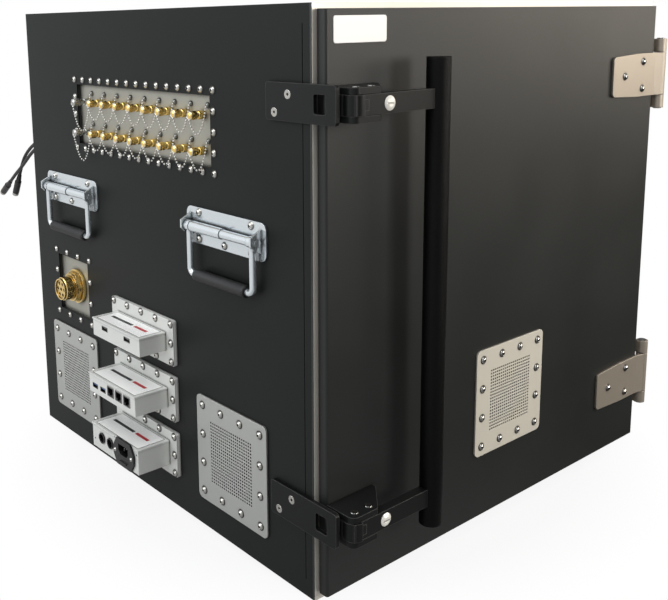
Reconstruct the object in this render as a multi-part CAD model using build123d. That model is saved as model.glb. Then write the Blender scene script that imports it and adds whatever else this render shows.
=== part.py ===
from build123d import *
import os
from math import cos, radians, sin, sqrt, tan

# Bench-top RF shielded test enclosure: a cube of sheet-metal panels with one hinged front door.
# Frame: X to the right, Y to the back, Z up, millimetres.  The door is on the -Y side and
# the connector side on -X.  The origin lies on the bench, in the middle between the four feet.

# ---- cabinet ----
body_width = 650.0
body_depth = 644.0
body_height = 650.0
foot_height = 10.0
sheet = 2.5
frame_thickness = 3.0
opening_width = 570.0
opening_height = 570.0
seam_from_front = 14.0
seam_width = 1.2
seam_end_gap = 20.0
slit = 0.5

# ---- fasteners ----
bolt_clearance = 0.25
m5_radius = 2.5
m5_head_radius = 4.4
m5_head_height = 3.2
m4_radius = 2.0
m4_head_radius = 3.8
m4_head_height = 2.4

# ---- feet ----
foot_radius = 20.0
foot_bolt_hole_radius = 3.3
foot_spacing_x = 560.0
foot_spacing_y = 540.0

# ---- door ----
door_inset_left = 6.0
door_inset_right = 10.5
door_inset_top = 6.0
door_inset_bottom = 8.5
door_depth = 12.0
door_gap = 1.5
door_sheet = 2.0
door_edge_radius = 3.0
plug_width = 550.0
plug_height = 550.0
plug_depth = 18.0
gasket_width = 9.0
gasket_thickness = 1.3

# ---- absorber foam ----
absorber_depth = 40.0
absorber_margin = 12.0
door_absorber_depth = 40.0
door_absorber_margin = 18.0

# ---- interface windows on the connector side: centre (along the wall, up), size ----
coax_window_u = -11.0
coax_window_v = 508.0
coax_window_width = 318.0
coax_window_height = 84.0
coax_screw_pitch_u = 23.6
coax_screw_pitch_v = 24.25
coax_screw_columns = 15
coax_screw_rows = 5
feed_window_u = -211.0
feed_window_v = 245.0
feed_window_width = 90.0
feed_window_height = 86.0
feed_screw_pitch_u = 34.0
feed_screw_pitch_v = 32.6
feed_screw_columns = 4
feed_screw_rows = 4
window_recess = 6.0
interface_plate_thickness = 3.0
interface_plate_overlap = 14.0

# ---- coaxial connectors ----
coax_columns = 9
coax_pitch = 34.3
coax_last_u = 127.5
coax_row_v = (526.5, 484.1)
coax_hole_radius = 3.3
coax_barrel_radius = 3.1
coax_hex_across = 9.0
coax_hex_height = 2.2
coax_barrel_length = 9.0
coax_inner_length = 13.0
cap_radius = 4.6
cap_length = 19.2
cap_wall = 1.0
plain_cap_length = 24.2
chain_screw_shift_u = 9.5
chain_screw_shift_v = 11.4
chain_screw_radius = 3.6

# ---- waveguide feedthrough ----
feedthrough_v_shift = 0.5
feedthrough_u_shift = 3.0
feedthrough_ring_radius = 21.0
feedthrough_ring_height = 2.5
feedthrough_lip_radius = 16.0
feedthrough_lip_height = 3.0
feedthrough_flange_radius = 25.7
feedthrough_flange_thickness = 5.0
feedthrough_hex_across = 42.0
feedthrough_hex_height = 6.0
feedthrough_barrel_radius = 17.5
feedthrough_barrel_length = 17.0
feedthrough_tube_radius = 2.6
feedthrough_tube_circle = 9.5
feedthrough_tubes = 6
feedthrough_inner_radius = 14.0
feedthrough_inner_length = 24.0
feedthrough_nut_across = 38.0
feedthrough_nut_height = 8.0

# ---- honeycomb vents ----
vent_width = 136.0
vent_height = 139.0
vent_plate_thickness = 2.5
vent_corner = 7.0
vent_screw_span_u = 112.0
vent_screw_span_v = 114.0
vent_screws_per_side = 4
vent_hole_count = 20
vent_hole_pitch = 4.1
vent_hole_radius = 1.3
vent_front_u = 176.0
vent_rear_u = -213.0
vent_v = 108.0
door_vent_x = -1.0
door_vent_v = 161.0
honeycomb_depth = 12.0
honeycomb_cell_across = 12.0
honeycomb_wall = 0.8
honeycomb_columns = 6
honeycomb_rows = 7
vent_window = 90.0
door_honeycomb_lap = 7.0

# ---- port boxes ----
port_box_u = -12.0
port_flange_width = 152.0
port_flange_height = 61.0
port_flange_backing = 2.8
port_flange_front = 3.0
port_flange_corner = 3.0
port_screw_pitch_u = 35.25
port_screw_pitch_v = 25.5
port_box_width = 118.0
port_box_wall = 2.0
port_lid_lip = 0.8
video_box_v = 229.0
video_box_height = 24.8
video_box_depth = 40.0
data_box_v = 152.4
data_box_height = 26.8
data_box_depth = 50.0
power_box_v = 75.5
power_box_height = 34.0
power_box_depth = 48.5
socket_fit = 0.15
socket_depth = 14.0
video_size = (15.0, 6.2)
video_socket_span = 56.4
video_socket_v_shift = 2.9
usb_size = (13.6, 6.8)
usb_count = 2
usb_v_shift = -2.4
network_size = (16.0, 13.8)
network_count = 3
network_v_shift = 1.4
data_first_u = -43.2
data_pitch = 20.5
dc_radius = 7.4
dc_first_u = -33.4
dc_pitch = 21.7
dc_v_shift = 1.5
corner_hole_radius = 1.4
corner_holes = ((-53.5, -5.5), (55.0, 9.5))
board_thickness = 1.6

# ---- mains inlet ----
inlet_u = 26.0
inlet_v_shift = 1.0
inlet_width = 34.0
inlet_height = 37.0
inlet_ear_span = 40.0
inlet_width_at_ears = 50.0
inlet_body_width = 27.0
inlet_body_height = 27.6
inlet_body_v = -1.0
inlet_screw_radius = 1.5
inlet_screw_head_radius = 2.9
inlet_flange = 3.0
inlet_mouth_width = 24.4
inlet_mouth_height = 14.0
inlet_mouth_depth = 15.0
inlet_mouth_v = 4.2
inlet_pin_recess = 5.5
drawer_width = 24.0
drawer_height = 8.2
drawer_depth = 22.0
drawer_v = -9.0
drawer_clearance = 0.3
drawer_travel = 18.0

# ---- hinges ----
hinge_axis_from_side = 6.0
hinge_barrel_radius = 8.0
hinge_pin_radius = 3.0
hinge_running = 0.05
hinge_head = 1.2
hinge_leaf = 3.5
hinge_v = (550.0, 103.0)
hinge_total_height = 97.0
hinge_middle_height = 60.0
hinge_knuckle_gap = 0.5
hinge_door_reach = 125.5
hinge_free_height = 53.0
hinge_frame_reach = 62.0

# ---- latch and pull handle ----
latch_v = (550.8, 101.8)
keeper_rear_from_front = 67.0
keeper_overhang = 39.0
keeper_height = 40.0
keeper_thickness = 5.0
keeper_screws = ((32.0, 8.0), (53.5, -11.5))
keeper_window_from_tip = 14.0
keeper_window_length = 18.0
keeper_window_height = 20.0
pivot_from_side = 18.0
pivot_off = 29.5
latch_pin_radius = 4.0
latch_running = 0.05
stop_pin_shift = 21.0
ear_outer = 17.5
ear_inner = 10.8
ear_reach = 40.0
ear_corner = 8.0
ear_front_reach = 25.0
ear_foot_reach = 57.0
ear_foot_height = 6.0
arm_height = 20.6
arm_front_off = 40.0
arm_thickness = 12.0
hub_radius = 13.0
cam_gap = 0.4
nose_reach = 22.0
cam_block = 10.0
tongue_length = 8.0
tongue_height = 11.0
bar_from_side = 135.0
bar_off = 34.5
bar_radius = 13.0
bar_wall = 2.0
bar_bottom_v = 68.0
bar_top_v = 592.0
arm_screw_from_pivot = 37.0
arm_screw_head_radius = 7.6
arm_screw_radius = 4.0
stop_pin_clearance = 0.5

# ---- carrying handles ----
carry_v = 394.0
carry_left_y = (-174.0, 198.0)
carry_plate_length = 150.0
carry_plate_height = 44.0
carry_plate_thickness = 2.5
carry_plate_corner = 9.0
carry_axle_off = 9.5
carry_axle_up = 0.0
carry_axle_radius = 3.0
carry_sleeve_radius = 6.5
carry_sleeve_step = 5.0
carry_eye_radius = 6.5
carry_eye_length = 9.0
carry_leg_span = 120.0
carry_leg_radius = 4.0
carry_drop = 59.0
carry_bend = 8.0
carry_grip_radius = 7.0
carry_grip_length = 96.0
carry_ear_span = 130.0
carry_ear_thickness = 2.5
carry_screw_span_u = 99.0
carry_screw_span_v = 32.0

# ---- rear fans ----
fan_size = 120.0
fan_depth = 25.0
fan_bore_radius = 57.0
fan_screw_span = 105.0
fan_x = -210.0
fan_v = (470.0, 335.0)
fan_hub_radius = 20.0
fan_blade_tip = 54.5
fan_blades = 7
fan_strut_depth = 5.0
fan_shaft_radius = 2.0
fan_running = 0.05
guard_wire_radius = 1.2
guard_rings = 5

# ---- fan leads: the gland on the rear panel, and the routes' points chosen by hand ----
lead_radius = 2.75
lead_gland_x = -298.5
lead_gland_width = 22.0
lead_gland_height = 36.0
lead_gland_plate = 3.0
lead_nipple_radius = 4.8
lead_upper_route = (
    (-294, 334, 465),
    (-294, 352, 465),
    (-294, 392, 449),
    (-294, 422, 430),
    (-294, 438, 411),
    (-294, 449, 393),
)
lead_lower_route = (
    (-303, 334, 452),
    (-303, 353, 452),
    (-303, 382, 436.5),
    (-303, 415, 413.5),
    (-303, 446, 395.5),
    (-303, 467, 381),
)
socket_body_radius = 5.5
socket_boot_length = 14.0
socket_body_length = 24.0
socket_tip_length = 5.0
socket_bore_radius = 2.75
socket_bore_depth = 9.0

# ---- derived planes ----
left_x = -body_width / 2
right_x = body_width / 2
front_y = -body_depth / 2
rear_y = body_depth / 2
base_z = foot_height
top_z = foot_height + body_height
door_back_y = front_y - door_gap
door_front_y = door_back_y - door_depth
opening_v = body_height / 2


def left_wall(u, v, off=0.0):
    """Plane on the connector side: local x to the front, local y up, local z outward."""
    return Plane(origin=(left_x - off, -u, base_z + v), x_dir=(0, -1, 0), z_dir=(-1, 0, 0))


def right_wall(u, v, off=0.0):
    """Plane on the right side: local x to the back, local y up, local z outward."""
    return Plane(origin=(right_x + off, u, base_z + v), x_dir=(0, 1, 0), z_dir=(1, 0, 0))


def rear_wall(x, v, off=0.0):
    """Plane on the rear: local x towards -X, local y up, local z outward."""
    return Plane(origin=(x, rear_y + off, base_z + v), x_dir=(-1, 0, 0), z_dir=(0, 1, 0))


def door_face(x, v, off=0.0):
    """Plane on the door's front: local x to the right, local y up, local z outward."""
    return Plane(origin=(x, door_front_y - off, base_z + v), x_dir=(1, 0, 0), z_dir=(0, -1, 0))


def span_box(x0, x1, y0, y1, z0, z1):
    """A box between two corners."""
    return Pos((x0 + x1) / 2, (y0 + y1) / 2, (z0 + z1) / 2) * Box(x1 - x0, y1 - y0, z1 - z0)


def disc(radius, height, z=0.0):
    """A cylinder standing on local height z."""
    return Pos(0, 0, z + height / 2) * Cylinder(radius, height)


def tube(outer, inner, height, z=0.0):
    """A straight tube standing on local height z."""
    return disc(outer, height, z) - disc(inner, height, z)


def hex_prism(across, height, z=0.0):
    """A hexagonal prism of a given width across flats, standing on local height z."""
    return extrude(Pos(0, 0, z) * RegularPolygon(across / sqrt(3), 6), amount=height)


def group(solids):
    """Separate solids kept in one named piece."""
    flat = []
    for item in solids:
        flat.extend(item.solids())
    return Compound(children=flat)


def span_positions(count, pitch):
    """Evenly spaced positions about zero."""
    return [(i - (count - 1) / 2) * pitch for i in range(count)]


def rim_positions(columns, rows, pitch_u, pitch_v):
    """Screw positions round the edge of a rectangular pattern."""
    spots = []
    for i, u in enumerate(span_positions(columns, pitch_u)):
        for j, v in enumerate(span_positions(rows, pitch_v)):
            if i in (0, columns - 1) or j in (0, rows - 1):
                spots.append((u, v))
    return spots


def button_screw(head_radius, head_height, radius, length):
    """Button-head screw: the head's underside is at local height 0, the shank goes down."""
    dome = Pos(0, 0, -head_radius * 0.35) * Sphere(sqrt(head_radius**2 * 1.1225))
    head = disc(head_radius, head_height) & dome
    socket = hex_prism(radius * 1.25, head_height, head_height * 0.45)
    return head - socket + disc(radius, length, -length)


def flat_screw(head_radius, radius, length, height=2.2):
    """Countersunk screw: the head's top is at local height 0."""
    head = Pos(0, 0, -height / 2) * Cone(radius, head_radius, height)
    socket = hex_prism(radius * 1.2, 1.4, -1.4)
    return head + disc(radius, length - height, -length) - socket


def rounded_plate(width, height, thickness, corner, z=0.0):
    """A plate with rounded corners standing on local height z."""
    return extrude(Pos(0, 0, z) * RectangleRounded(width, height, corner), amount=thickness)


def drill(plate, spots, radius, depth, z):
    """Round holes through a plate, cut as one sketch."""
    cutter = Sketch() + [Pos(u, v) * Circle(radius) for u, v in spots]
    return plate - extrude(Pos(0, 0, z) * cutter, amount=depth)


# ---- screw patterns, in the wall's own coordinates ----
coax_rim = rim_positions(coax_screw_columns, coax_screw_rows, coax_screw_pitch_u, coax_screw_pitch_v)
feed_rim = rim_positions(feed_screw_columns, feed_screw_rows, feed_screw_pitch_u, feed_screw_pitch_v)
vent_rim = rim_positions(
    vent_screws_per_side,
    vent_screws_per_side,
    vent_screw_span_u / (vent_screws_per_side - 1),
    vent_screw_span_v / (vent_screws_per_side - 1),
)
port_rim = rim_positions(5, 3, port_screw_pitch_u, port_screw_pitch_v)
port_boxes = {
    "video": (video_box_v, video_box_height, video_box_depth),
    "data": (data_box_v, data_box_height, data_box_depth),
    "power": (power_box_v, power_box_height, power_box_depth),
}
port_stack = port_flange_backing + port_flange_front
coax_u = [coax_last_u - i * coax_pitch for i in range(coax_columns)]
coax_spots = [(u, v) for v in coax_row_v for u in coax_u]
chain_spots = [(u + chain_screw_shift_u, v + chain_screw_shift_v) for u, v in coax_spots]
carry_corners = [
    (side * carry_screw_span_u / 2, level * carry_screw_span_v / 2) for side in (-1, 1) for level in (-1, 1)
]
carry_spots = carry_corners + [(0, -carry_screw_span_v / 2)]


def shifted(spots, u, v):
    """Spots moved to a place on the wall."""
    return [(a + u, b + v) for a, b in spots]


# ---------------------------------------------------------------- cabinet
def make_left_panel():
    """Connector side: windows, vent and cable openings, screw holes and the front seam."""
    front_u = body_depth / 2 - frame_thickness
    rear_u = -body_depth / 2
    face = Pos((front_u + rear_u) / 2, body_height / 2) * Rectangle(front_u - rear_u, body_height)
    windows = [
        Pos(coax_window_u, coax_window_v) * Rectangle(coax_window_width, coax_window_height),
        Pos(feed_window_u, feed_window_v) * Rectangle(feed_window_width, feed_window_height),
        Pos(vent_front_u, vent_v) * Rectangle(vent_window, vent_window),
        Pos(vent_rear_u, vent_v) * Rectangle(vent_window, vent_window),
    ]
    for v, height, depth in port_boxes.values():
        windows.append(Pos(port_box_u, v) * Rectangle(100, height - 2 * port_box_wall - 4))
    small = shifted(coax_rim, coax_window_u, coax_window_v)
    small += shifted(feed_rim, feed_window_u, feed_window_v)
    small += shifted(vent_rim, vent_front_u, vent_v) + shifted(vent_rim, vent_rear_u, vent_v)
    for v, height, depth in port_boxes.values():
        small += shifted(port_rim, port_box_u, v)
    for y in carry_left_y:
        small += shifted(carry_spots, -y, carry_v)
    holes = [Pos(u, v) * Circle(m5_radius + bolt_clearance) for u, v in small]
    holes += [Pos(u, v) * Circle(m5_radius + bolt_clearance) for u, v in keeper_holes()]
    panel = extrude(left_wall(0, 0) * (face - windows - holes), amount=-sheet)
    groove_y = front_y + seam_from_front
    groove = span_box(
        left_x - 1,
        left_x + 1.0,
        groove_y - seam_width / 2,
        groove_y + seam_width / 2,
        base_z + seam_end_gap,
        top_z - seam_end_gap,
    )
    return panel - groove


def keeper_holes():
    """Keeper screw places on the connector side."""
    front_u = -front_y
    spots = []
    for v in latch_v:
        for back, level in keeper_screws:
            spots.append((front_u - back, v + level))
    return spots


def right_wall_spots():
    """Screw places on the right side: carrying handles and hinge leaves."""
    spots = []
    for y in carry_left_y:
        spots += shifted(carry_spots, y, carry_v)
    for v in hinge_v:
        spots += shifted(frame_leaf_spots(), 0, v)
    return spots


def make_right_panel():
    """Plain right side, drilled for the carrying handles and hinge leaves."""
    back_u = body_depth / 2
    front_u = -body_depth / 2 + frame_thickness
    face = Pos((front_u + back_u) / 2, body_height / 2) * Rectangle(back_u - front_u, body_height)
    holes = [Pos(u, v) * Circle(m5_radius + bolt_clearance) for u, v in right_wall_spots()]
    return extrude(right_wall(0, 0) * (face - holes), amount=-sheet)


def make_flat_panel(z):
    """Top or bottom panel, held between the two sides."""
    side = body_width / 2 - sheet
    return span_box(-side, side, front_y + frame_thickness, rear_y, z, z + sheet)


def make_bottom_panel():
    """Bottom panel, drilled through over each foot."""
    panel = make_flat_panel(base_z)
    holes = [Pos(x, y) * Circle(foot_bolt_hole_radius) for x, y in foot_places()]
    return panel - extrude(Pos(0, 0, base_z - 1) * (Sketch() + holes), amount=sheet + 2)


def make_rear_panel():
    """Rear panel with the two fan openings."""
    half = body_width / 2 - sheet
    face = Pos(0, body_height / 2) * Rectangle(2 * half, body_height - 2 * sheet)
    holes = []
    for v in fan_v:
        holes.append(Pos(-fan_x, v) * Circle(fan_bore_radius))
        for u in (-1, 1):
            for w in (-1, 1):
                spot = Pos(-fan_x + u * fan_screw_span / 2, v + w * fan_screw_span / 2)
                holes.append(spot * Circle(m4_radius + bolt_clearance))
    return extrude(rear_wall(0, 0) * (face - holes), amount=-sheet)


def make_front_frame():
    """Bare steel sealing frame round the door opening."""
    outer = span_box(left_x, right_x, front_y, front_y + frame_thickness, base_z, top_z)
    half = opening_width / 2
    low = base_z + opening_v - opening_height / 2
    high = base_z + opening_v + opening_height / 2
    frame = outer - span_box(-half, half, front_y - 1, front_y + frame_thickness + 1, low, high)
    return frame


def ring(width, height, border, y0, y1):
    """A rectangular ring round the door opening, of a given border width."""
    mid = base_z + opening_v
    outer = span_box(-width / 2, width / 2, y0, y1, mid - height / 2, mid + height / 2)
    inner_w = width - 2 * border
    inner_h = height - 2 * border
    low = mid - inner_h / 2
    high = mid + inner_h / 2
    return outer - span_box(-inner_w / 2, inner_w / 2, y0 - 1, y1 + 1, low, high)


def make_frame_gasket():
    """Conductive gasket on the sealing frame, just clear of the closed door."""
    border = (body_width - opening_width) / 2
    width = body_width - border
    height = body_height - (body_height - opening_height) / 2
    return ring(width, height, gasket_width, front_y - gasket_thickness, front_y)


def make_wall_absorbers():
    """Foam slabs on the right, top, bottom and rear walls, each the outline of its pyramids."""
    side = body_width / 2 - sheet
    y0 = front_y + 60
    y1 = rear_y - sheet - absorber_depth - 2
    low = base_z + sheet
    high = top_z - sheet
    edge = absorber_depth + absorber_margin
    right = span_box(side - absorber_depth, side, y0, y1, low + edge, high - edge)
    top = span_box(-side + edge, side - edge, y0, y1, high - absorber_depth, high)
    bottom = span_box(-side + edge, side - edge, y0, y1, low, low + absorber_depth)
    x0 = fan_x + fan_size / 2 + 20
    y2 = rear_y - sheet
    rear = span_box(x0, side - edge, y2 - absorber_depth, y2, low + edge, high - edge)
    pocket = disc(m5_radius * 2, 12, -12)
    for u, v in right_wall_spots():
        right -= right_wall(u, v) * pocket
    return group([right, top, bottom, rear])


def foot_places():
    """The four feet."""
    return [(a * foot_spacing_x / 2, b * foot_spacing_y / 2) for a in (-1, 1) for b in (-1, 1)]


def make_feet():
    """Rubber feet with a through hole for a bench bolt."""
    one = tube(foot_radius, foot_bolt_hole_radius, foot_height)
    return group([Pos(x, y, 0) * one for x, y in foot_places()])


# ---------------------------------------------------------------- connector windows
def window_plate(width, height, rim):
    """A bare plate behind a window, standing off the wall's inside on a frame of its own."""
    outer_w = width + 2 * interface_plate_overlap
    outer_h = height + 2 * interface_plate_overlap
    deep = -window_recess
    plate = rounded_plate(outer_w, outer_h, interface_plate_thickness, 3, deep - interface_plate_thickness)
    spacer = rounded_plate(outer_w, outer_h, window_recess - sheet, 3, deep)
    spacer -= extrude(Pos(0, 0, deep) * Rectangle(width, height), amount=window_recess)
    return drill(plate + spacer, rim, m5_radius + bolt_clearance, 30, -20)


def make_interface_plates():
    """The coaxial plate and the feedthrough plate."""
    coax = window_plate(coax_window_width, coax_window_height, coax_rim)
    local = [(u - coax_window_u, v - coax_window_v) for u, v in coax_spots]
    coax = drill(coax, local, coax_hole_radius, 30, -20)
    pins = [(u - coax_window_u, v - coax_window_v) for u, v in chain_spots]
    coax = drill(coax, pins, 1.5, 30, -20)
    feed = window_plate(feed_window_width, feed_window_height, feed_rim)
    centre = (feedthrough_u_shift, feedthrough_v_shift)
    feed = drill(feed, [centre], feedthrough_inner_radius + bolt_clearance, 30, -20)
    coax_place = left_wall(coax_window_u, coax_window_v)
    feed_place = left_wall(feed_window_u, feed_window_v)
    return group([coax_place * coax, feed_place * feed])


def make_coax_connectors():
    """Bulkhead coaxial sockets: hexagon, threaded barrel in front and tail inside."""
    body = hex_prism(coax_hex_across, coax_hex_height)
    body += disc(coax_barrel_radius, coax_barrel_length)
    body += disc(coax_barrel_radius, coax_inner_length, -coax_inner_length)
    nut_z = -interface_plate_thickness - coax_hex_height
    body += hex_prism(coax_hex_across, coax_hex_height, nut_z)
    return group([left_wall(u, v, -window_recess) * body for u, v in coax_spots])


def dust_cap(length):
    """Knurled screw cap with a ringed neck for its chain."""
    start = coax_hex_height + 0.6
    cap = disc(cap_radius, length * 0.62, start)
    neck = disc(cap_radius * 0.55, length, start)
    collar = disc(cap_radius * 0.8, length * 0.16, start + length * 0.84)
    bore = disc(coax_barrel_radius + 0.1, coax_barrel_length - start + 0.4, start)
    return cap + neck + collar - bore


def make_coax_dust_caps():
    """Dust caps: the column next to the rear has the longer plain caps."""
    caps = []
    for u, v in coax_spots:
        length = plain_cap_length if u == coax_u[-1] else cap_length
        caps.append(left_wall(u, v, -window_recess) * dust_cap(length))
    return group(caps)


def make_dust_cap_screws():
    """Dome-head screws that hold the cap chains."""
    dome = Sphere(chain_screw_radius) & disc(chain_screw_radius, chain_screw_radius)
    screw = dome + disc(1.4, interface_plate_thickness + 2, -interface_plate_thickness - 2)
    return group([left_wall(u, v, -window_recess) * screw for u, v in chain_spots])


def feedthrough_place():
    """Plane of the feedthrough's flange seat."""
    u = feed_window_u + feedthrough_u_shift
    return left_wall(u, feed_window_v + feedthrough_v_shift, -window_recess)


def make_feedthrough_body():
    """Brass waveguide feedthrough: flange, hexagon, stepped barrel and a ring of through tubes."""
    flange = disc(feedthrough_flange_radius, feedthrough_flange_thickness)
    top = feedthrough_flange_thickness
    hexagon = hex_prism(feedthrough_hex_across, feedthrough_hex_height, top)
    hexagon &= disc(feedthrough_hex_across * 0.545, feedthrough_hex_height, top)
    top += feedthrough_hex_height
    shoulder = disc(feedthrough_ring_radius, feedthrough_ring_height, top)
    barrel = disc(feedthrough_barrel_radius, feedthrough_barrel_length, top)
    barrel = chamfer(barrel.edges().group_by(Axis.Z)[-1], 1.0)
    top += feedthrough_barrel_length
    lip = disc(feedthrough_lip_radius, feedthrough_lip_height, top)
    tail = disc(feedthrough_inner_radius, feedthrough_inner_length, -feedthrough_inner_length)
    body = flange + hexagon + shoulder + barrel + lip + tail
    dish = feedthrough_lip_height * 0.6
    body -= disc(feedthrough_lip_radius - 1.8, dish, top + feedthrough_lip_height - dish)
    holes = [(0.0, 0.0)]
    for i in range(feedthrough_tubes):
        turn = radians(360 * i / feedthrough_tubes)
        holes.append((feedthrough_tube_circle * cos(turn), feedthrough_tube_circle * sin(turn)))
    body = drill(body, holes, feedthrough_tube_radius, 80, -feedthrough_inner_length - 1)
    return feedthrough_place() * body


def make_feedthrough_nut():
    """Clamp nut of the feedthrough, inside the cabinet."""
    z = -interface_plate_thickness - feedthrough_nut_height
    nut = hex_prism(feedthrough_nut_across, feedthrough_nut_height, z)
    nut -= disc(feedthrough_inner_radius, feedthrough_nut_height, z)
    return feedthrough_place() * nut


# ---------------------------------------------------------------- vents
def vent_plate():
    """Perforated cover plate of a vent."""
    grid = span_positions(vent_hole_count, vent_hole_pitch)
    holes = [Pos(u, v) * Circle(vent_hole_radius) for u in grid for v in grid]
    holes += [Pos(u, v) * Circle(m5_radius + bolt_clearance) for u, v in vent_rim]
    face = RectangleRounded(vent_width, vent_height, vent_corner) - holes
    return extrude(face, amount=vent_plate_thickness)


def honeycomb_cells(depth):
    """The hexagonal waveguide cells of a block, as one cutter."""
    across = honeycomb_cell_across
    pitch_u = across + honeycomb_wall
    pitch_v = pitch_u * sqrt(3) / 2
    cell = RegularPolygon(across / sqrt(3), 6, rotation=30)
    cells = []
    for j, v in enumerate(span_positions(honeycomb_rows, pitch_v)):
        shift = (j % 2 - 0.5) * pitch_u / 2
        cells += [Pos(u + shift, v) * cell for u in span_positions(honeycomb_columns, pitch_u)]
    return extrude(Sketch() + cells, amount=-depth)


def honeycomb(width, height, depth, rim, hole_radius):
    """A framed block of hexagonal waveguide cells, its front face at local height 0."""
    holes = [Pos(u, v) * Circle(hole_radius) for u, v in rim]
    return extrude(Rectangle(width, height) - holes, amount=-depth) - honeycomb_cells(depth)


def fan_corner_spots():
    """The four fan screws."""
    return [(a * fan_screw_span / 2, b * fan_screw_span / 2) for a in (-1, 1) for b in (-1, 1)]


def make_left_vent_plates():
    """The two vent covers on the connector side."""
    return group([left_wall(u, vent_v) * vent_plate() for u in (vent_front_u, vent_rear_u)])


def make_vent_honeycombs():
    """Honeycomb blocks behind the side vents and the fans."""
    hole = m5_radius + bolt_clearance
    side = honeycomb(vent_width, vent_height, honeycomb_depth, vent_rim, hole)
    back = honeycomb(fan_size, fan_size, honeycomb_depth, fan_corner_spots(), m4_radius + bolt_clearance)
    blocks = [left_wall(u, vent_v, -sheet) * side for u in (vent_front_u, vent_rear_u)]
    blocks += [rear_wall(fan_x, v, -sheet) * back for v in fan_v]
    return group(blocks)


def make_panel_screws():
    """Socket button screws of the windows, vents and port boxes."""
    short = button_screw(m5_head_radius, m5_head_height, m5_radius, 11)
    long = button_screw(m5_head_radius, m5_head_height, m5_radius, 20)
    screws = [left_wall(u + coax_window_u, v + coax_window_v) * short for u, v in coax_rim]
    screws += [left_wall(u + feed_window_u, v + feed_window_v) * short for u, v in feed_rim]
    for place in (vent_front_u, vent_rear_u):
        screws += [left_wall(u + place, v + vent_v, vent_plate_thickness) * long for u, v in vent_rim]
    for place, height, depth in port_boxes.values():
        screws += [left_wall(u + port_box_u, v + place, port_stack) * short for u, v in port_rim]
    small = button_screw(inlet_screw_head_radius, 1.8, inlet_screw_radius, 8)
    ear_z = power_box_depth + inlet_flange
    screws += [box_plane("power") * Pos(u, v, ear_z) * small for u, v in inlet_screw_places()]
    return group(screws)


# ---------------------------------------------------------------- port boxes
def make_port_box_flanges():
    """Two stacked mounting plates under each port box."""
    plates = []
    for place, height, depth in port_boxes.values():
        mouth = Rectangle(100, height - 2 * port_box_wall - 4)
        for z, thickness in ((0, port_flange_backing), (port_flange_backing, port_flange_front)):
            face = RectangleRounded(port_flange_width, port_flange_height, port_flange_corner) - mouth
            plate = extrude(Pos(0, 0, z) * face, amount=thickness)
            plate = drill(plate, port_rim, m5_radius + bolt_clearance, 20, -5)
            plates.append(left_wall(port_box_u, place) * plate)
    return group(plates)


def port_housing(height, depth, cutouts):
    """A port box: a tray open to the wall, with a separate lid that stands a lip proud."""
    wall = port_box_wall
    low = -height / 2
    tray = Pos(0, -wall / 2, depth / 2) * Box(port_box_width, height - wall, depth)
    tray -= Pos(0, wall / 2, depth / 2 - wall) * Box(port_box_width - 2 * wall, height - wall, depth)
    for cut in cutouts:
        tray -= cut
    lid_depth = depth + port_lid_lip
    lid = Pos(0, -low - wall / 2, lid_depth / 2) * Box(port_box_width + 2 * port_lid_lip, wall, lid_depth)
    return [tray, lid]


def box_plane(name):
    """Plane on a port box's flange, at the box's centre."""
    return left_wall(port_box_u, port_boxes[name][0], port_stack)


def front_cut(u, v, width, height, depth):
    """A rectangular opening in the front wall of a port box."""
    return Pos(u, v, depth) * Box(width, height, 4 * port_box_wall)


def video_places():
    """Video sockets on the top box."""
    return [(u * video_socket_span / 2, video_socket_v_shift) for u in (-1, 1)]


def usb_places():
    """USB sockets on the middle box."""
    return [(data_first_u + i * data_pitch, usb_v_shift) for i in range(usb_count)]


def network_places():
    """Network sockets on the middle box."""
    return [(data_first_u + (usb_count + i) * data_pitch, network_v_shift) for i in range(network_count)]


def dc_places():
    """Round DC sockets on the bottom box."""
    return [(dc_first_u + i * dc_pitch, dc_v_shift) for i in range(2)]


def inlet_screw_places():
    """The two screws in the ears of the mains inlet, from the power box's centre."""
    return [(inlet_u + s * inlet_ear_span / 2, inlet_v_shift) for s in (-1, 1)]


def make_video_box_housing():
    """Top port box."""
    depth = video_box_depth
    cuts = [front_cut(u, v, video_size[0], video_size[1], depth) for u, v in video_places()]
    return group([box_plane("video") * s for s in port_housing(video_box_height, depth, cuts)])


def make_data_box_housing():
    """Middle port box."""
    depth = data_box_depth
    cuts = [front_cut(u, v, usb_size[0], usb_size[1], depth) for u, v in usb_places()]
    cuts += [front_cut(u, v, network_size[0], network_size[1], depth) for u, v in network_places()]
    return group([box_plane("data") * s for s in port_housing(data_box_height, depth, cuts)])


def make_power_box_housing():
    """Bottom port box, with round and mains openings and two corner screws."""
    depth = power_box_depth
    cuts = [Pos(u, v, depth) * Cylinder(dc_radius - 1, 8) for u, v in dc_places()]
    inlet_hole = Box(inlet_body_width, inlet_body_height, 8)
    cuts.append(Pos(inlet_u, inlet_v_shift + inlet_body_v, depth) * inlet_hole)
    for u, v in inlet_screw_places():
        cuts.append(Pos(u, v, depth) * Cylinder(inlet_screw_radius + 0.2, 8))
    cuts += [Pos(u, v, depth) * Cylinder(corner_hole_radius, 8) for u, v in corner_holes]
    tray, lid = port_housing(power_box_height, depth, cuts)
    notch = Box(inlet_width_at_ears + 1, 4 * port_box_wall, 2 * inlet_flange)
    lid -= Pos(inlet_u, power_box_height / 2, depth + inlet_flange) * notch
    return group([box_plane("power") * tray, box_plane("power") * lid])


def shell_socket(width, height, wall, tongue, depth):
    """A metal socket shell with a contact tongue, its mouth flush with the box front."""
    fit = socket_fit
    outer = Box(width - 2 * fit, height - 2 * fit, socket_depth)
    inner = Pos(0, 0, 1.0) * Box(width - 2 * fit - 2 * wall, height - 2 * fit - 2 * wall, socket_depth)
    blade = Pos(0, tongue[2], -0.5) * Box(tongue[0], tongue[1], socket_depth - 2)
    return Pos(0, 0, depth - socket_depth / 2 + 0.3) * (outer - inner + blade)


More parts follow.
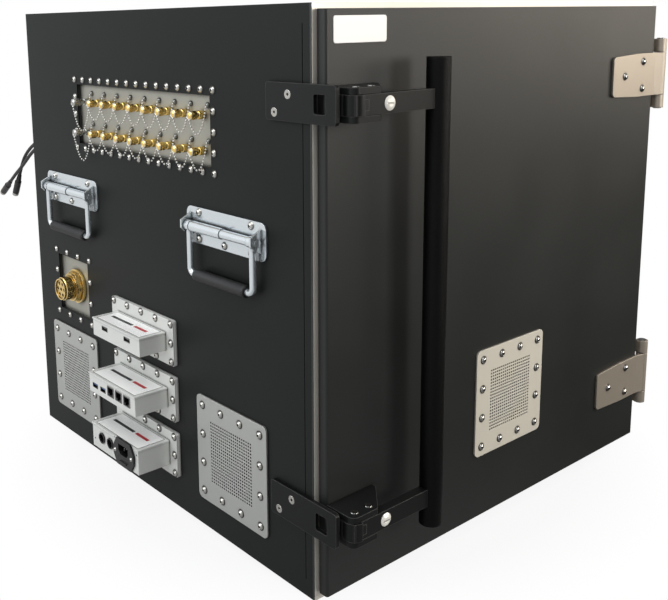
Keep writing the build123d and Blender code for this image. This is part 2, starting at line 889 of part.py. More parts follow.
def make_video_sockets():
    """Two small video sockets."""
    one = shell_socket(video_size[0], video_size[1], 0.6, (10.0, 1.2, 0.4), video_box_depth)
    return group([box_plane("video") * Pos(u, v, 0) * one for u, v in video_places()])


def make_usb_sockets():
    """Two USB sockets."""
    one = shell_socket(usb_size[0], usb_size[1], 0.5, (10.6, 1.9, 1.2), data_box_depth)
    return group([box_plane("data") * Pos(u, v, 0) * one for u, v in usb_places()])


def make_network_sockets():
    """Three eight-way network sockets with a latch step."""
    width, height = network_size
    depth = data_box_depth
    block = Box(width - 2 * socket_fit, height - 2 * socket_fit, 16)
    mouth = Pos(0, 1.0, 3) * Box(11.8, 8.0, 14)
    step = Pos(0, -4.2, 3) * Box(6.2, 2.6, 14)
    one = Pos(0, 0, depth - 8 + 0.3) * (block - mouth - step)
    return group([box_plane("data") * Pos(u, v, 0) * one for u, v in network_places()])


def make_dc_sockets():
    """Two round panel sockets, each with its centre pin set back from the mouth."""
    depth = power_box_depth
    flange = tube(dc_radius, 6.0, 1.6, depth)
    barrel = tube(dc_radius - 1 - socket_fit, 6.0, 12.0, depth - 12.0)
    back = disc(dc_radius - 1 - socket_fit, 1.5, depth - 13.5)
    pin = disc(1.2, 8.5, depth - 13.5)
    one = flange + barrel + back + pin
    return group([box_plane("power") * Pos(u, v, 0) * one for u, v in dc_places()])


def make_mains_inlet():
    """Mains inlet: eared flange, six-sided mouth with three blades, and a slot for the fuse drawer."""
    depth = power_box_depth
    ear_w = inlet_width_at_ears / 2
    top_w = inlet_width / 2
    top_h = inlet_height / 2
    bezel = Polyline(
        (-top_w, top_h),
        (top_w, top_h),
        (ear_w, top_h * 0.3),
        (ear_w, -top_h * 0.3),
        (top_w, -top_h),
        (-top_w, -top_h),
        (-ear_w, -top_h * 0.3),
        (-ear_w, top_h * 0.3),
        close=True,
    )
    plate = extrude(Pos(0, 0, depth) * make_face(bezel), amount=inlet_flange)
    body_w = inlet_body_width - 2 * socket_fit
    body_h = inlet_body_height - 2 * socket_fit
    bulk = Pos(0, inlet_body_v, depth - 12) * Box(body_w, body_h, 24)
    half_w = inlet_mouth_width / 2
    half_h = inlet_mouth_height / 2
    outline = Polyline(
        (-half_w, half_h),
        (half_w, half_h),
        (half_w, -half_h + 5),
        (half_w - 5, -half_h),
        (-half_w + 5, -half_h),
        (-half_w, -half_h + 5),
        close=True,
    )
    front = depth + inlet_flange
    mouth = extrude(Pos(0, inlet_mouth_v, front) * make_face(outline), amount=-inlet_mouth_depth)
    body = plate + bulk - mouth
    pin_length = inlet_mouth_depth - inlet_pin_recess
    pin_z = front - inlet_mouth_depth + pin_length / 2
    for u, v in ((-7.0, -2.0), (7.0, -2.0), (0.0, 2.0)):
        body += Pos(u, inlet_mouth_v + v, pin_z) * Box(2.0, 4.0, pin_length)
    clear = 2 * drawer_clearance
    slot_depth = drawer_depth + drawer_clearance
    slot = Box(drawer_width + clear, drawer_height + clear, slot_depth)
    body -= Pos(0, drawer_v, front - slot_depth / 2) * slot
    for s in (-1, 1):
        body -= Pos(s * inlet_ear_span / 2, 0, depth) * Cylinder(inlet_screw_radius + 0.2, 20)
    return box_plane("power") * Pos(inlet_u, inlet_v_shift, 0) * body


def make_fuse_drawer():
    """Sliding fuse drawer with a finger lip, under the mains mouth."""
    front = power_box_depth + inlet_flange
    tray = Pos(0, drawer_v, front - drawer_depth / 2) * Box(drawer_width, drawer_height, drawer_depth)
    well = Box(drawer_width - 4, drawer_height - 3, drawer_depth - 6)
    tray -= Pos(0, drawer_v + 1.5, front - drawer_depth / 2 - 1.5) * well
    lip = Pos(0, drawer_v - drawer_height / 2 + 1.2, front + 0.8) * Box(drawer_width - 8, 2.0, 1.6)
    return box_plane("power") * Pos(inlet_u, inlet_v_shift, 0) * (tray + lip)


def make_filter_boards():
    """Filter circuit board and screening cans inside each port box."""
    boards = []
    for name, (place, height, depth) in port_boxes.items():
        low = -height / 2 + port_box_wall
        length = depth - 26
        board = Pos(0, low + board_thickness / 2, 1 + length / 2) * Box(104, board_thickness, length)
        cans = Sketch() + [Pos(u, 0) * Rectangle(18, length - 6) for u in (-36, -12, 12, 36)]
        top = low + board_thickness
        seat = Plane(origin=(0, top, 1 + length / 2), x_dir=(1, 0, 0), z_dir=(0, 1, 0))
        can = extrude(seat * cans, amount=7)
        boards.append(box_plane(name) * (board + can))
    return group(boards)


# ---------------------------------------------------------------- hinges
hinge_x = right_x + hinge_axis_from_side
hinge_y = door_front_y


def knuckle(v, low, high):
    """One barrel knuckle between two heights measured from the hinge's middle."""
    body = tube(hinge_barrel_radius, hinge_pin_radius + hinge_running, high - low)
    return Pos(hinge_x, hinge_y, base_z + v + low) * body


def door_leaf_spots():
    """Door leaf screws, measured from the hinge axis and the hinge's middle."""
    return [(-51.0, 18.5), (-97.0, 0.0), (-51.0, -18.5)]


def frame_leaf_spots():
    """Frame leaf screws on the right side."""
    y = front_y + 20
    return [(y, 32.0), (y + 26, 0.0), (y, -32.0)]


def make_hinge_door_leaves():
    """Tapered door leaves with the middle knuckle."""
    leaves = []
    half = hinge_middle_height / 2 - hinge_knuckle_gap
    free = hinge_free_height / 2
    for v in hinge_v:
        outline = Polyline(
            (0, half),
            (-68, half),
            (-hinge_door_reach, free),
            (-hinge_door_reach, -free),
            (-68, -half),
            (0, -half),
            close=True,
        )
        leaf = extrude(door_face(hinge_x, v) * make_face(outline), amount=hinge_leaf)
        leaf = fillet(leaf.edges().filter_by(Axis.Y).sort_by(Axis.X)[0:2], 6)
        curl = Polyline((-20, 0), (-20, -hinge_leaf), (-5, -hinge_barrel_radius + 1.6), (0, 0), close=True)
        curl = extrude(make_face(curl), amount=half, both=True)
        leaf += Pos(hinge_x, hinge_y, base_z + v) * curl
        leaf += knuckle(v, -half, half)
        leaf -= Pos(hinge_x, hinge_y, base_z + v) * Cylinder(hinge_pin_radius + hinge_running, 2 * half + 2)
        for u, w in door_leaf_spots():
            leaf -= door_face(hinge_x + u, v + w, -1) * disc(m5_radius + bolt_clearance, 10)
        leaves.append(leaf)
    return group(leaves)


def make_hinge_frame_leaves():
    """Frame leaves on the right side with the outer knuckles."""
    leaves = []
    total = hinge_total_height / 2
    mid = hinge_middle_height / 2
    clear_y = hinge_y + hinge_barrel_radius + 1.0
    for v in hinge_v:
        z = base_z + v
        x1 = right_x + hinge_leaf
        leaf = span_box(right_x, x1, clear_y, front_y + hinge_frame_reach, z - total, z + total)
        for low, high in ((-total, -mid), (mid, total)):
            leaf += span_box(right_x, x1, hinge_y, clear_y, z + low, z + high)
            leaf += knuckle(v, low, high)
            leaf -= Pos(hinge_x, hinge_y, z + (low + high) / 2) * Cylinder(hinge_pin_radius, high - low + 1)
        for u, w in frame_leaf_spots():
            leaf -= right_wall(u, v + w, -1) * disc(m5_radius + bolt_clearance, 10)
        leaves.append(leaf)
    return group(leaves)


def make_hinge_pins():
    """Hinge pins with low heads."""
    total = hinge_total_height
    pins = []
    for v in hinge_v:
        pin = disc(hinge_pin_radius, total, -total / 2)
        head = disc(hinge_barrel_radius - 2.5, hinge_head, total / 2)
        pin += head + Rot(180, 0, 0) * head
        pins.append(Pos(hinge_x, hinge_y, base_z + v) * pin)
    return group(pins)


# ---------------------------------------------------------------- door
door_x0 = left_x + door_inset_left
door_x1 = right_x - door_inset_right
door_z0 = base_z + door_inset_bottom
door_z1 = top_z - door_inset_top


def door_hole_cutter(length):
    """Through holes of the door's front: hinge screws, vent screws."""
    cutters = []
    for v in hinge_v:
        for u, w in door_leaf_spots():
            spot = door_face(hinge_x + u, v + w, 1)
            cutters.append(spot * disc(m5_radius + bolt_clearance, length, -length))
    for u, v in vent_rim:
        spot = door_face(door_vent_x + u, door_vent_v + v, 1)
        cutters.append(spot * disc(m5_radius + bolt_clearance, length, -length))
    return cutters


def vent_opening(y0, y1):
    """Square vent opening through the door."""
    half = vent_window / 2
    z = base_z + door_vent_v
    return span_box(door_vent_x - half, door_vent_x + half, y0, y1, z - half, z + half)


def make_door_skin():
    """Front skin with its edges folded back."""
    outer = span_box(door_x0, door_x1, door_front_y, door_back_y, door_z0, door_z1)
    outer = fillet(outer.edges().filter_by(Axis.Z).group_by(Axis.Y)[0], door_edge_radius)
    t = door_sheet
    hollow = span_box(door_x0 + t, door_x1 - t, door_front_y + t, door_back_y + 1, door_z0 + t, door_z1 - t)
    skin = outer - hollow - vent_opening(door_front_y - 1, door_back_y + 1)
    for cutter in door_hole_cutter(6):
        skin -= cutter
    return skin


def make_door_inner_pan():
    """Inner sheet that closes the door and plugs into the opening."""
    t = door_sheet
    sheet_back = door_back_y
    mid = base_z + opening_v
    flat = span_box(door_x0 + t, door_x1 - t, sheet_back - t, sheet_back, door_z0 + t, door_z1 - t)
    plug_back = sheet_back + plug_depth
    half_w = plug_width / 2
    half_h = plug_height / 2
    plug = span_box(-half_w, half_w, sheet_back - t, plug_back, mid - half_h, mid + half_h)
    low = mid - half_h + t
    high = mid + half_h - t
    cave = span_box(-half_w + t, half_w - t, sheet_back - t, plug_back - t, low, high)
    return flat + plug - cave - vent_opening(door_front_y, plug_back + 1)


def make_door_absorber():
    """Foam slab on the door's plug, the outline of its pyramids, open behind the vent."""
    y0 = door_back_y + plug_depth
    m = door_absorber_margin
    mid = base_z + opening_v
    half_w = plug_width / 2 - m
    half_h = plug_height / 2 - m
    slab = span_box(-half_w, half_w, y0, y0 + door_absorber_depth, mid - half_h, mid + half_h)
    return slab - vent_opening(y0 - 1, y0 + door_absorber_depth + 1)


def make_door_vent_plate():
    """Perforated vent cover on the door."""
    return door_face(door_vent_x, door_vent_v) * vent_plate()


def make_door_honeycomb():
    """Honeycomb block behind the door's vent, between skin and plug."""
    depth = door_depth - 2 * door_sheet
    side = vent_window + 2 * door_honeycomb_lap
    block = extrude(Rectangle(side, side), amount=-depth) - honeycomb_cells(depth)
    return door_face(door_vent_x, door_vent_v, -door_sheet) * block


def make_door_screws():
    """Hinge and vent screws on the door."""
    screw = button_screw(m5_head_radius, m5_head_height, m5_radius, 8)
    big = button_screw(m5_head_radius * 1.15, m5_head_height * 1.2, m5_radius, 9)
    place = door_face(door_vent_x, door_vent_v, vent_plate_thickness)
    screws = [place * Pos(u, v) * screw for u, v in vent_rim]
    for v in hinge_v:
        screws += [door_face(hinge_x + u, v + w, hinge_leaf) * big for u, w in door_leaf_spots()]
    return group(screws)


# ---------------------------------------------------------------- latches
pivot_x = left_x + pivot_from_side
pivot_y = door_front_y - pivot_off
bar_x = left_x + bar_from_side
bar_y = door_front_y - bar_off
arm_front_y = door_front_y - arm_front_off


def make_latch_keepers():
    """Keeper plates on the connector side, reaching past the door's edge with a claw window."""
    keepers = []
    u0 = -front_y - keeper_rear_from_front
    u1 = -front_y + keeper_overhang
    for v in latch_v:
        plate = Pos((u0 + u1) / 2, 0) * RectangleRounded(u1 - u0, keeper_height, 4)
        window_u = u1 - keeper_window_from_tip - keeper_window_length / 2
        plate -= Pos(window_u, 0) * RectangleRounded(keeper_window_length, keeper_window_height, 2.5)
        body = extrude(plate, amount=keeper_thickness)
        for u, w in keeper_holes()[0:2]:
            spot = Pos(u, w - latch_v[0], 0)
            body -= spot * disc(m5_radius + bolt_clearance, 20, -5)
            body -= spot * Pos(0, 0, keeper_thickness - 1.25) * Cone(m5_radius, m5_head_radius + 0.6, 2.5)
        keepers.append(left_wall(0, v) * body)
    return group(keepers)


def make_latch_brackets():
    """Two-eared brackets on the door that carry the pivot and stop pins."""
    brackets = []
    y0 = door_front_y
    x0 = left_x + 6.0
    for v in latch_v:
        z = base_z + v
        plan = Polyline(
            (x0, y0),
            (x0, y0 - ear_reach),
            (pivot_x + ear_front_reach, y0 - ear_reach),
            (pivot_x + ear_foot_reach, y0 - ear_foot_height),
            (pivot_x + ear_foot_reach, y0),
            close=True,
        )
        ear = extrude(make_face(plan), amount=ear_outer - ear_inner)
        front = ear.edges().filter_by(Axis.Z).group_by(Axis.Y)[0].sort_by(Axis.X)
        ear = fillet(front[0], ear_corner)
        front = ear.edges().filter_by(Axis.Z).group_by(Axis.Y)[0].sort_by(Axis.X)
        ear = fillet(front[-1], ear_corner / 2)
        both = Pos(0, 0, z + ear_inner) * ear + Pos(0, 0, z - ear_outer) * ear
        foot_x = pivot_x + ear_foot_reach
        both += span_box(foot_x - 42, foot_x, y0 - 5, y0, z - ear_outer, z + ear_outer)
        for x in (pivot_x, pivot_x + stop_pin_shift):
            both -= Pos(x, pivot_y, z) * Cylinder(latch_pin_radius, 2 * ear_outer + 2)
        brackets.append(both)
    return group(brackets)


def make_latch_pins():
    """Pivot pin and stop pin of each latch, with domed ends."""
    pins = []
    length = 2 * ear_outer
    dome = Sphere(latch_pin_radius * 1.25) & disc(latch_pin_radius * 1.25, 3)
    end = Pos(0, 0, length / 2) * Pos(0, 0, -2.2) * dome & disc(10, 4, length / 2)
    pin = disc(latch_pin_radius, length, -length / 2) + end + Rot(180, 0, 0) * end
    for v in latch_v:
        for x in (pivot_x, pivot_x + stop_pin_shift):
            pins.append(Pos(x, pivot_y, base_z + v) * pin)
    return group(pins)


def make_latch_cams():
    """Cams on the pivot pins: hub, square front, claw nose towards the keeper and a tongue."""
    front = arm_front_y - pivot_y
    back = front + arm_thickness
    reach = pivot_from_side - cam_gap
    nose = Polyline(
        (-11, 4),
        (-reach, nose_reach - 8),
        (-reach, nose_reach),
        (-12, nose_reach + 2.6),
        (-4, hub_radius - 0.6),
        (0, 0),
        close=True,
    )
    block = Pos(-cam_block / 2, front / 2) * Rectangle(cam_block, -front)
    plan = Circle(hub_radius) + make_face(nose) + block
    arm_room = Pos(hub_radius, (front + back) / 2 - 5) * Rectangle(2 * hub_radius, back - front + 10)
    cam = extrude(plan - arm_room, amount=arm_height / 2, both=True)
    tongue = Pos(tongue_length / 2, front / 2) * Rectangle(tongue_length, -front)
    cam += extrude(tongue, amount=tongue_height / 2, both=True)
    cam -= Cylinder(latch_pin_radius + latch_running, arm_height + 2)
    return group([Pos(pivot_x, pivot_y, base_z + v) * cam for v in latch_v])


def make_latch_arms():
    """Flat arms from the cams to the bar, slotted for the tongue and notched round the stop pin."""
    arms = []
    y0 = arm_front_y
    y1 = arm_front_y + arm_thickness
    gap = arm_height + 2
    stop = latch_pin_radius + stop_pin_clearance
    stop_x = pivot_x + stop_pin_shift
    tongue_x = pivot_x + tongue_length
    half_tongue = tongue_height / 2
    for v in latch_v:
        z = base_z + v
        arm = span_box(pivot_x, bar_x, y0, y1, z - arm_height / 2, z + arm_height / 2)
        arm -= Pos(bar_x, bar_y, z) * Cylinder(bar_radius, gap)
        arm -= span_box(pivot_x - 1, tongue_x, y0 - 1, pivot_y, z - half_tongue, z + half_tongue)
        arm -= span_box(pivot_x - 1, pivot_x + hub_radius, pivot_y, y1 + 1, z - gap, z + gap)
        arm -= Pos(pivot_x, pivot_y, z) * Cylinder(latch_pin_radius + latch_running, gap)
        arm -= Pos(stop_x, pivot_y, z) * Cylinder(stop, gap)
        arm -= span_box(stop_x - stop, stop_x + stop, pivot_y, y1 + 1, z - gap, z + gap)
        screw_x = pivot_x + arm_screw_from_pivot
        arm -= Pos(screw_x, (y0 + y1) / 2, z) * Rot(90, 0, 0) * Cylinder(arm_screw_radius + 0.2, 20)
        arms.append(arm.solids().sort_by(SortBy.VOLUME)[-1])
    return group(arms)


def make_handle_bar():
    """Round pull bar with a plug in each end."""
    length = bar_top_v - bar_bottom_v
    place = Pos(bar_x, bar_y, base_z + bar_bottom_v)
    body = tube(bar_radius, bar_radius - bar_wall, length)
    plug = disc(bar_radius - bar_wall, 12)
    cap = disc(bar_radius, 1.5, -1.5)
    top = place * Pos(0, 0, length) * Rot(180, 0, 0)
    return group([place * body, place * (plug + cap), top * (plug + cap)])


def make_arm_screws():
    """Large slotted screws through the arms with their nuts behind."""
    screws = []
    r = arm_screw_head_radius
    head = disc(r, 2.6) & Pos(0, 0, -r * 1.2) * Sphere(r * 1.62)
    head -= Pos(0, 0, 2.6) * Box(2 * r, 1.6, 1.6)
    r = arm_screw_radius
    screw = head + disc(r, arm_thickness + 4, -arm_thickness - 4)
    nut = hex_prism(13.0, 4.0, -arm_thickness - 4) - disc(r, 5, -arm_thickness - 5)
    for v in latch_v:
        place = door_face(pivot_x + arm_screw_from_pivot, v, arm_front_off)
        screws += [place * screw, place * nut]
    return group(screws)


# ---------------------------------------------------------------- carrying handles
def carry_places():
    """Wall planes of the four carrying handles."""
    places = {}
    for name, y in (("front", carry_left_y[0]), ("rear", carry_left_y[1])):
        places["left_" + name] = left_wall(-y, carry_v)
        places["right_" + name] = right_wall(y, carry_v)
    return places


def carry_plate():
    """Base plate with two hooded ears, and the axle with its spring sleeve."""
    plate = rounded_plate(carry_plate_length, carry_plate_height, carry_plate_thickness, carry_plate_corner)
    plate = drill(plate, carry_spots, m5_radius + bolt_clearance, 10, -5)
    t = carry_plate_thickness
    side = Polyline((t, -13), (t, 15), (6, 13), (18, 7), (18, -3), (13, -8), close=True)
    ear_plane = Plane(origin=(0, 0, 0), x_dir=(0, 0, 1), z_dir=(-1, 0, 0))
    ears = []
    for s in (-1, 1):
        at = s * (carry_ear_span / 2 + carry_ear_thickness / 2)
        face = Pos(at, 0, 0) * (ear_plane * make_face(side))
        ears.append(extrude(face, amount=carry_ear_thickness / 2, both=True))
    axis = Pos(0, carry_axle_up, carry_axle_off) * Rot(0, 90, 0)
    outer = carry_ear_span / 2 + carry_ear_thickness + 1.5
    body = plate + ears[0] + ears[1] - axis * Cylinder(carry_axle_radius, 2 * outer)
    inner = carry_leg_span / 2 - carry_eye_length / 2 - 1.5
    axle = Cylinder(carry_axle_radius, 2 * outer)
    sleeve = disc(carry_sleeve_radius, inner + carry_sleeve_step, -inner)
    sleeve += disc(carry_sleeve_radius - 1, inner, 0)
    for s in (-1, 1):
        sleeve += Pos(0, 0, s * (outer - 0.7)) * Cylinder(4.6, 1.4)
    return [body, axis * (axle + sleeve)]


def carry_bail():
    """Bent rod with an eye on each end and a rubber grip on its lower run."""
    half = carry_leg_span / 2
    drop = carry_drop
    corners = ((-half, 0, 0), (-half, -drop, 0), (half, -drop, 0), (half, 0, 0))
    path = FilletPolyline(*corners, radius=carry_bend)
    start = Plane(origin=(-half, 0, 0), z_dir=(0, -1, 0))
    rod = sweep(start * Circle(carry_leg_radius), path=path)
    for s in (-1, 1):
        rod += Pos(s * half, 0, 0) * Rot(0, 90, 0) * Cylinder(carry_eye_radius, carry_eye_length)
    for s in (-1, 1):
        bore = Cylinder(carry_axle_radius + hinge_running, carry_eye_length + 2)
        rod -= Pos(s * half, 0, 0) * Rot(0, 90, 0) * bore
    grip = Cylinder(carry_grip_radius, carry_grip_length) - Cylinder(carry_leg_radius, carry_grip_length)
    return [rod, Pos(0, -drop, 0) * Rot(0, 90, 0) * grip]


def make_handle_plates():
    """Plates, ears, axles and spring sleeves of the four carrying handles."""
    parts = []
    for place in carry_places().values():
        parts += [place * piece for piece in carry_plate()]
    return group(parts)


def make_bail(place):
    """One hanging bail with its grip."""
    return group([place * Pos(0, carry_axle_up, carry_axle_off) * piece for piece in carry_bail()])


def make_hardware_screws():
    """Screws of the carrying handles, keepers and hinge frame leaves."""
    screw = button_screw(m5_head_radius * 1.1, m5_head_height * 1.2, m5_radius, 9)
    screws = []
    for place in carry_places().values():
        screws += [place * Pos(u, v, carry_plate_thickness) * screw for u, v in carry_spots]
    sunk = flat_screw(m5_head_radius + 0.4, m5_radius, 12)
    screws += [left_wall(u, v, keeper_thickness) * sunk for u, v in keeper_holes()]
    for v in hinge_v:
        screws += [right_wall(u, v + w, hinge_leaf) * screw for u, w in frame_leaf_spots()]
    stack = fan_depth + 2 * guard_wire_radius
    long = button_screw(m4_head_radius, m4_head_height, m4_radius, stack + sheet + honeycomb_depth + 3)
    for v in fan_v:
        screws += [rear_wall(fan_x, v, stack) * Pos(a, b) * long for a, b in fan_corner_spots()]
    return group(screws)


# ---------------------------------------------------------------- fans and their leads
def make_fan_housings():
    """Square fan frames with a round throat, a hub and four struts at the outer end."""
    frame = extrude(RectangleRounded(fan_size, fan_size, 5) - Circle(fan_bore_radius), amount=fan_depth)
    frame = drill(frame, fan_corner_spots(), m4_radius + bolt_clearance, fan_depth + 2, -1)
    z = fan_depth - fan_strut_depth
    hub = disc(fan_hub_radius + 4, 2.0, fan_depth - 2.0)
    strut_length = fan_bore_radius - fan_hub_radius + 4
    strut = Pos(fan_hub_radius - 2 + strut_length / 2, 0, fan_depth - 1.5) * Box(strut_length, 4, 3)
    for turn in (20, 110, 200, 290):
        hub += Rot(0, 0, turn) * strut
    shaft = disc(fan_shaft_radius, z, 2.0)
    body = frame + (hub & disc(fan_bore_radius + 1, fan_depth)) + shaft + disc(5, 2.0, z)
    body += disc(5.0, fan_strut_depth, z)
    return group([rear_wall(fan_x, v) * body for v in fan_v])


def make_fan_rotor(v):
    """Rotor with a hub on the shaft and swept blades inside the throat."""
    z0 = 3.0
    height = fan_depth - fan_strut_depth - z0 - 1.0
    hub = disc(fan_hub_radius, height, z0)
    rotor = hub
    for i in range(fan_blades):
        blade = Rot(38, 0, 0) * Box(fan_blade_tip - fan_hub_radius + 4, 22, 1.6)
        middle = Pos((fan_hub_radius + fan_blade_tip) / 2, 0, z0 + height / 2)
        rotor += Rot(0, 0, 360 * i / fan_blades) * middle * blade
    rotor &= disc(fan_blade_tip, height, z0)
    rotor -= disc(fan_shaft_radius + fan_running, height + 2, z0 - 1)
    return rear_wall(fan_x, v) * rotor


def make_fan_guards():
    """Wire finger guards: concentric rings on crossed bars, over the fans."""
    guards = []
    w = guard_wire_radius
    for v in fan_v:
        wires = []
        for i in range(guard_rings):
            radius = 12.0 + i * (fan_bore_radius - 12.0) / (guard_rings - 1)
            wires.append(Pos(0, 0, fan_depth + 3 * w) * Torus(radius, w))
        reach = fan_screw_span * sqrt(2) - 2 * m4_head_radius - 0.5
        for turn in (45, 135):
            bars = Rot(0, 0, turn) * Rot(0, 90, 0) * Cylinder(w, reach)
            wires.append(Pos(0, 0, fan_depth + w * 1.3) * bars)
        guard = wires[0]
        for wire in wires[1:]:
            guard += wire
        eye = Cylinder(4.5, 2 * w) - Cylinder(m4_radius + bolt_clearance, 2 * w)
        for u, t in fan_corner_spots():
            guard += Pos(u, t, fan_depth + w) * eye
        guards.append(rear_wall(fan_x, v) * guard)
    return group(guards)


# ---------------------------------------------------------------- fan leads
def lead_radii(route):
    """Arc radius at each corner of a route: as large as its shorter run allows."""
    points = [Vector(*point) for point in route]
    radii = []
    for before, corner, after in zip(points, points[1:], points[2:]):
        turn = (corner - before).get_angle(after - corner)
        shorter = min((corner - before).length, (after - corner).length)
        radii.append(0.45 * shorter / tan(radians(turn) / 2))
    return radii


def make_lead(name, route):
    """A lead's tube of straight runs and tangent arcs, with its radii printed."""
    radii = lead_radii(route)
    path = FilletPolyline(*route, radius=radii)
    start = Plane(origin=route[0], z_dir=path % 0)
    print(name, "length %.1f" % path.length, "radii", [round(radius, 1) for radius in radii])
    return sweep(start * Circle(lead_radius), path=path)


def make_lead_socket(route):
    """Inline socket on the end of a lead: tapered boot, body, ringed mouth and centre pin."""
    end = Vector(*route[-1])
    place = Plane(origin=end, z_dir=end - Vector(*route[-2]))
    boot = Cone(lead_radius + 0.6, socket_body_radius - 0.8, socket_boot_length)
    boot = Pos(0, 0, socket_boot_length / 2) * boot
    top = socket_boot_length + socket_body_length
    body = disc(socket_body_radius, socket_body_length, socket_boot_length)
    tip = disc(socket_body_radius - 0.5, socket_tip_length, top)
    top += socket_tip_length
    bore = disc(socket_bore_radius, socket_bore_depth, top - socket_bore_depth)
    pin = disc(1.0, socket_bore_depth - 1, top - socket_bore_depth)
    return place * (boot + body + tip - bore + pin)


def make_lead_gland():
    """Rubber gland on the rear panel with one nipple for each lead."""
    upper = lead_upper_route[0]
    lower = lead_lower_route[0]
    middle = (upper[2] + lower[2]) / 2 - base_z
    block = rounded_plate(lead_gland_width, lead_gland_height, lead_gland_plate, 4)
    gland = rear_wall(lead_gland_x, middle) * block
    for x, y, z in (upper, lower):
        length = y - rear_y
        cone = Pos(0, 0, length / 2) * Cone(lead_nipple_radius, lead_radius + 0.8, length)
        gland += rear_wall(x, z - base_z) * cone
    return gland


def main():
    os.makedirs("parts", exist_ok=True)
    pieces = {
        "left_panel": make_left_panel(),
        "right_panel": make_right_panel(),
        "top_panel": make_flat_panel(top_z - sheet),
        "bottom_panel": make_bottom_panel(),
        "rear_panel": make_rear_panel(),
        "front_frame": make_front_frame(),
        "frame_gasket": make_frame_gasket(),
        "wall_absorbers": make_wall_absorbers(),
        "interface_plates": make_interface_plates(),
        "coax_connectors": make_coax_connectors(),
        "coax_dust_caps": make_coax_dust_caps(),
        "dust_cap_screws": make_dust_cap_screws(),
        "feedthrough_body": make_feedthrough_body(),
        "feedthrough_nut": make_feedthrough_nut(),
        "left_vent_plates": make_left_vent_plates(),
        "vent_honeycombs": make_vent_honeycombs(),
        "panel_screws": make_panel_screws(),
        "port_box_flanges": make_port_box_flanges(),
        "video_box_housing": make_video_box_housing(),
        "data_box_housing": make_data_box_housing(),
        "power_box_housing": make_power_box_housing(),
        "video_sockets": make_video_sockets(),
        "usb_sockets": make_usb_sockets(),
        "network_sockets": make_network_sockets(),
        "dc_sockets": make_dc_sockets(),
        "mains_inlet": make_mains_inlet(),
        "fuse_drawer": make_fuse_drawer(),
        "filter_boards": make_filter_boards(),
        "feet": make_feet(),
        "latch_keepers": make_latch_keepers(),
        "hinge_frame_leaves": make_hinge_frame_leaves(),
        "hinge_door_leaves": make_hinge_door_leaves(),
        "hinge_pins": make_hinge_pins(),
        "hardware_screws": make_hardware_screws(),
        "handle_plates": make_handle_plates(),
        "door_skin": make_door_skin(),
        "door_inner_pan": make_door_inner_pan(),
        "door_absorber": make_door_absorber(),
        "door_vent_plate": make_door_vent_plate(),
        "door_honeycomb": make_door_honeycomb(),
        "door_screws": make_door_screws(),
        "latch_brackets": make_latch_brackets(),
        "latch_pins": make_latch_pins(),
        "latch_cams": make_latch_cams(),
        "latch_arms": make_latch_arms(),
        "handle_bar": make_handle_bar(),
        "arm_screws": make_arm_screws(),
        "fan_housings": make_fan_housings(),
        "fan_guards": make_fan_guards(),
        "upper_fan_rotor": make_fan_rotor(fan_v[0]),
        "lower_fan_rotor": make_fan_rotor(fan_v[1]),
        "upper_lead": make_lead("upper_lead", lead_upper_route),
        "lower_lead": make_lead("lower_lead", lead_lower_route),
        "upper_lead_socket": make_lead_socket(lead_upper_route),
        "lower_lead_socket": make_lead_socket(lead_lower_route),
        "lead_gland": make_lead_gland(),
    }
    for name, place in carry_places().items():
        pieces[name + "_bail"] = make_bail(place)
    for name, piece in pieces.items():
        export_step(piece, "parts/" + name + ".step")


main()
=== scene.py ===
import math

import bpy
import numpy as np
from mathutils import Matrix, Vector


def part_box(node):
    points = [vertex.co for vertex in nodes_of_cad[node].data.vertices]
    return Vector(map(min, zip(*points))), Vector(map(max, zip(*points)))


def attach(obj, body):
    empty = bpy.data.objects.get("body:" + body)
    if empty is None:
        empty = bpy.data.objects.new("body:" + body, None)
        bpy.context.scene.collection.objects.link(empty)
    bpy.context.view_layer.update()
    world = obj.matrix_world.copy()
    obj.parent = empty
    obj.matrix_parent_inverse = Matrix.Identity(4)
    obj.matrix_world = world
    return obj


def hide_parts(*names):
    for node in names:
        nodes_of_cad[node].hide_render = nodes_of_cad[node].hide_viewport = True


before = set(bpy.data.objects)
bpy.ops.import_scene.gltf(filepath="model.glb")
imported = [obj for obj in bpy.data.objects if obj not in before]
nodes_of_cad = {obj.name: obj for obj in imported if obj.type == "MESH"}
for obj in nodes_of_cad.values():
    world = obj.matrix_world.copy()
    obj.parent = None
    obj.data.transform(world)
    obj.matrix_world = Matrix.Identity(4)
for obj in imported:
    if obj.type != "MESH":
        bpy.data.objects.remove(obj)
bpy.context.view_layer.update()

# ---- camera ----------------------------------------------------------------
# Stands off the front corner on the connector side, a little above the top of
# the cabinet, with a shifted lens that keeps the cabinet in the lower right.
eye = Vector((-0.9432, -0.9985, 0.6422))
turn, rise, roll = (math.radians(angle) for angle in (-38.366, 10.376, -1.040))
away = Vector((math.sin(turn) * math.cos(rise), -math.cos(turn) * math.cos(rise), math.sin(rise)))
level = Vector((math.cos(turn), math.sin(turn), 0.0))
upright = away.cross(level)
across = math.cos(roll) * level + math.sin(roll) * upright
over = math.cos(roll) * upright - math.sin(roll) * level
camera = bpy.data.objects.new("camera", bpy.data.cameras.new("camera"))
bpy.context.scene.collection.objects.link(camera)
camera.matrix_world = Matrix.Translation(eye) @ Matrix((across, over, away)).transposed().to_4x4()
camera.data.sensor_width = 36.0
camera.data.lens = 49.31
camera.data.shift_x = 0.1276
camera.data.shift_y = -0.1655
camera.data.clip_start = 0.02
camera.data.clip_end = 100.0
bpy.context.scene.camera = camera

# ---- leads -----------------------------------------------------------------
# Two black PVC leads of 5.5 mm that come out of the rubber gland on the rear
# panel and hang behind the cabinet; each ends in an inline socket.


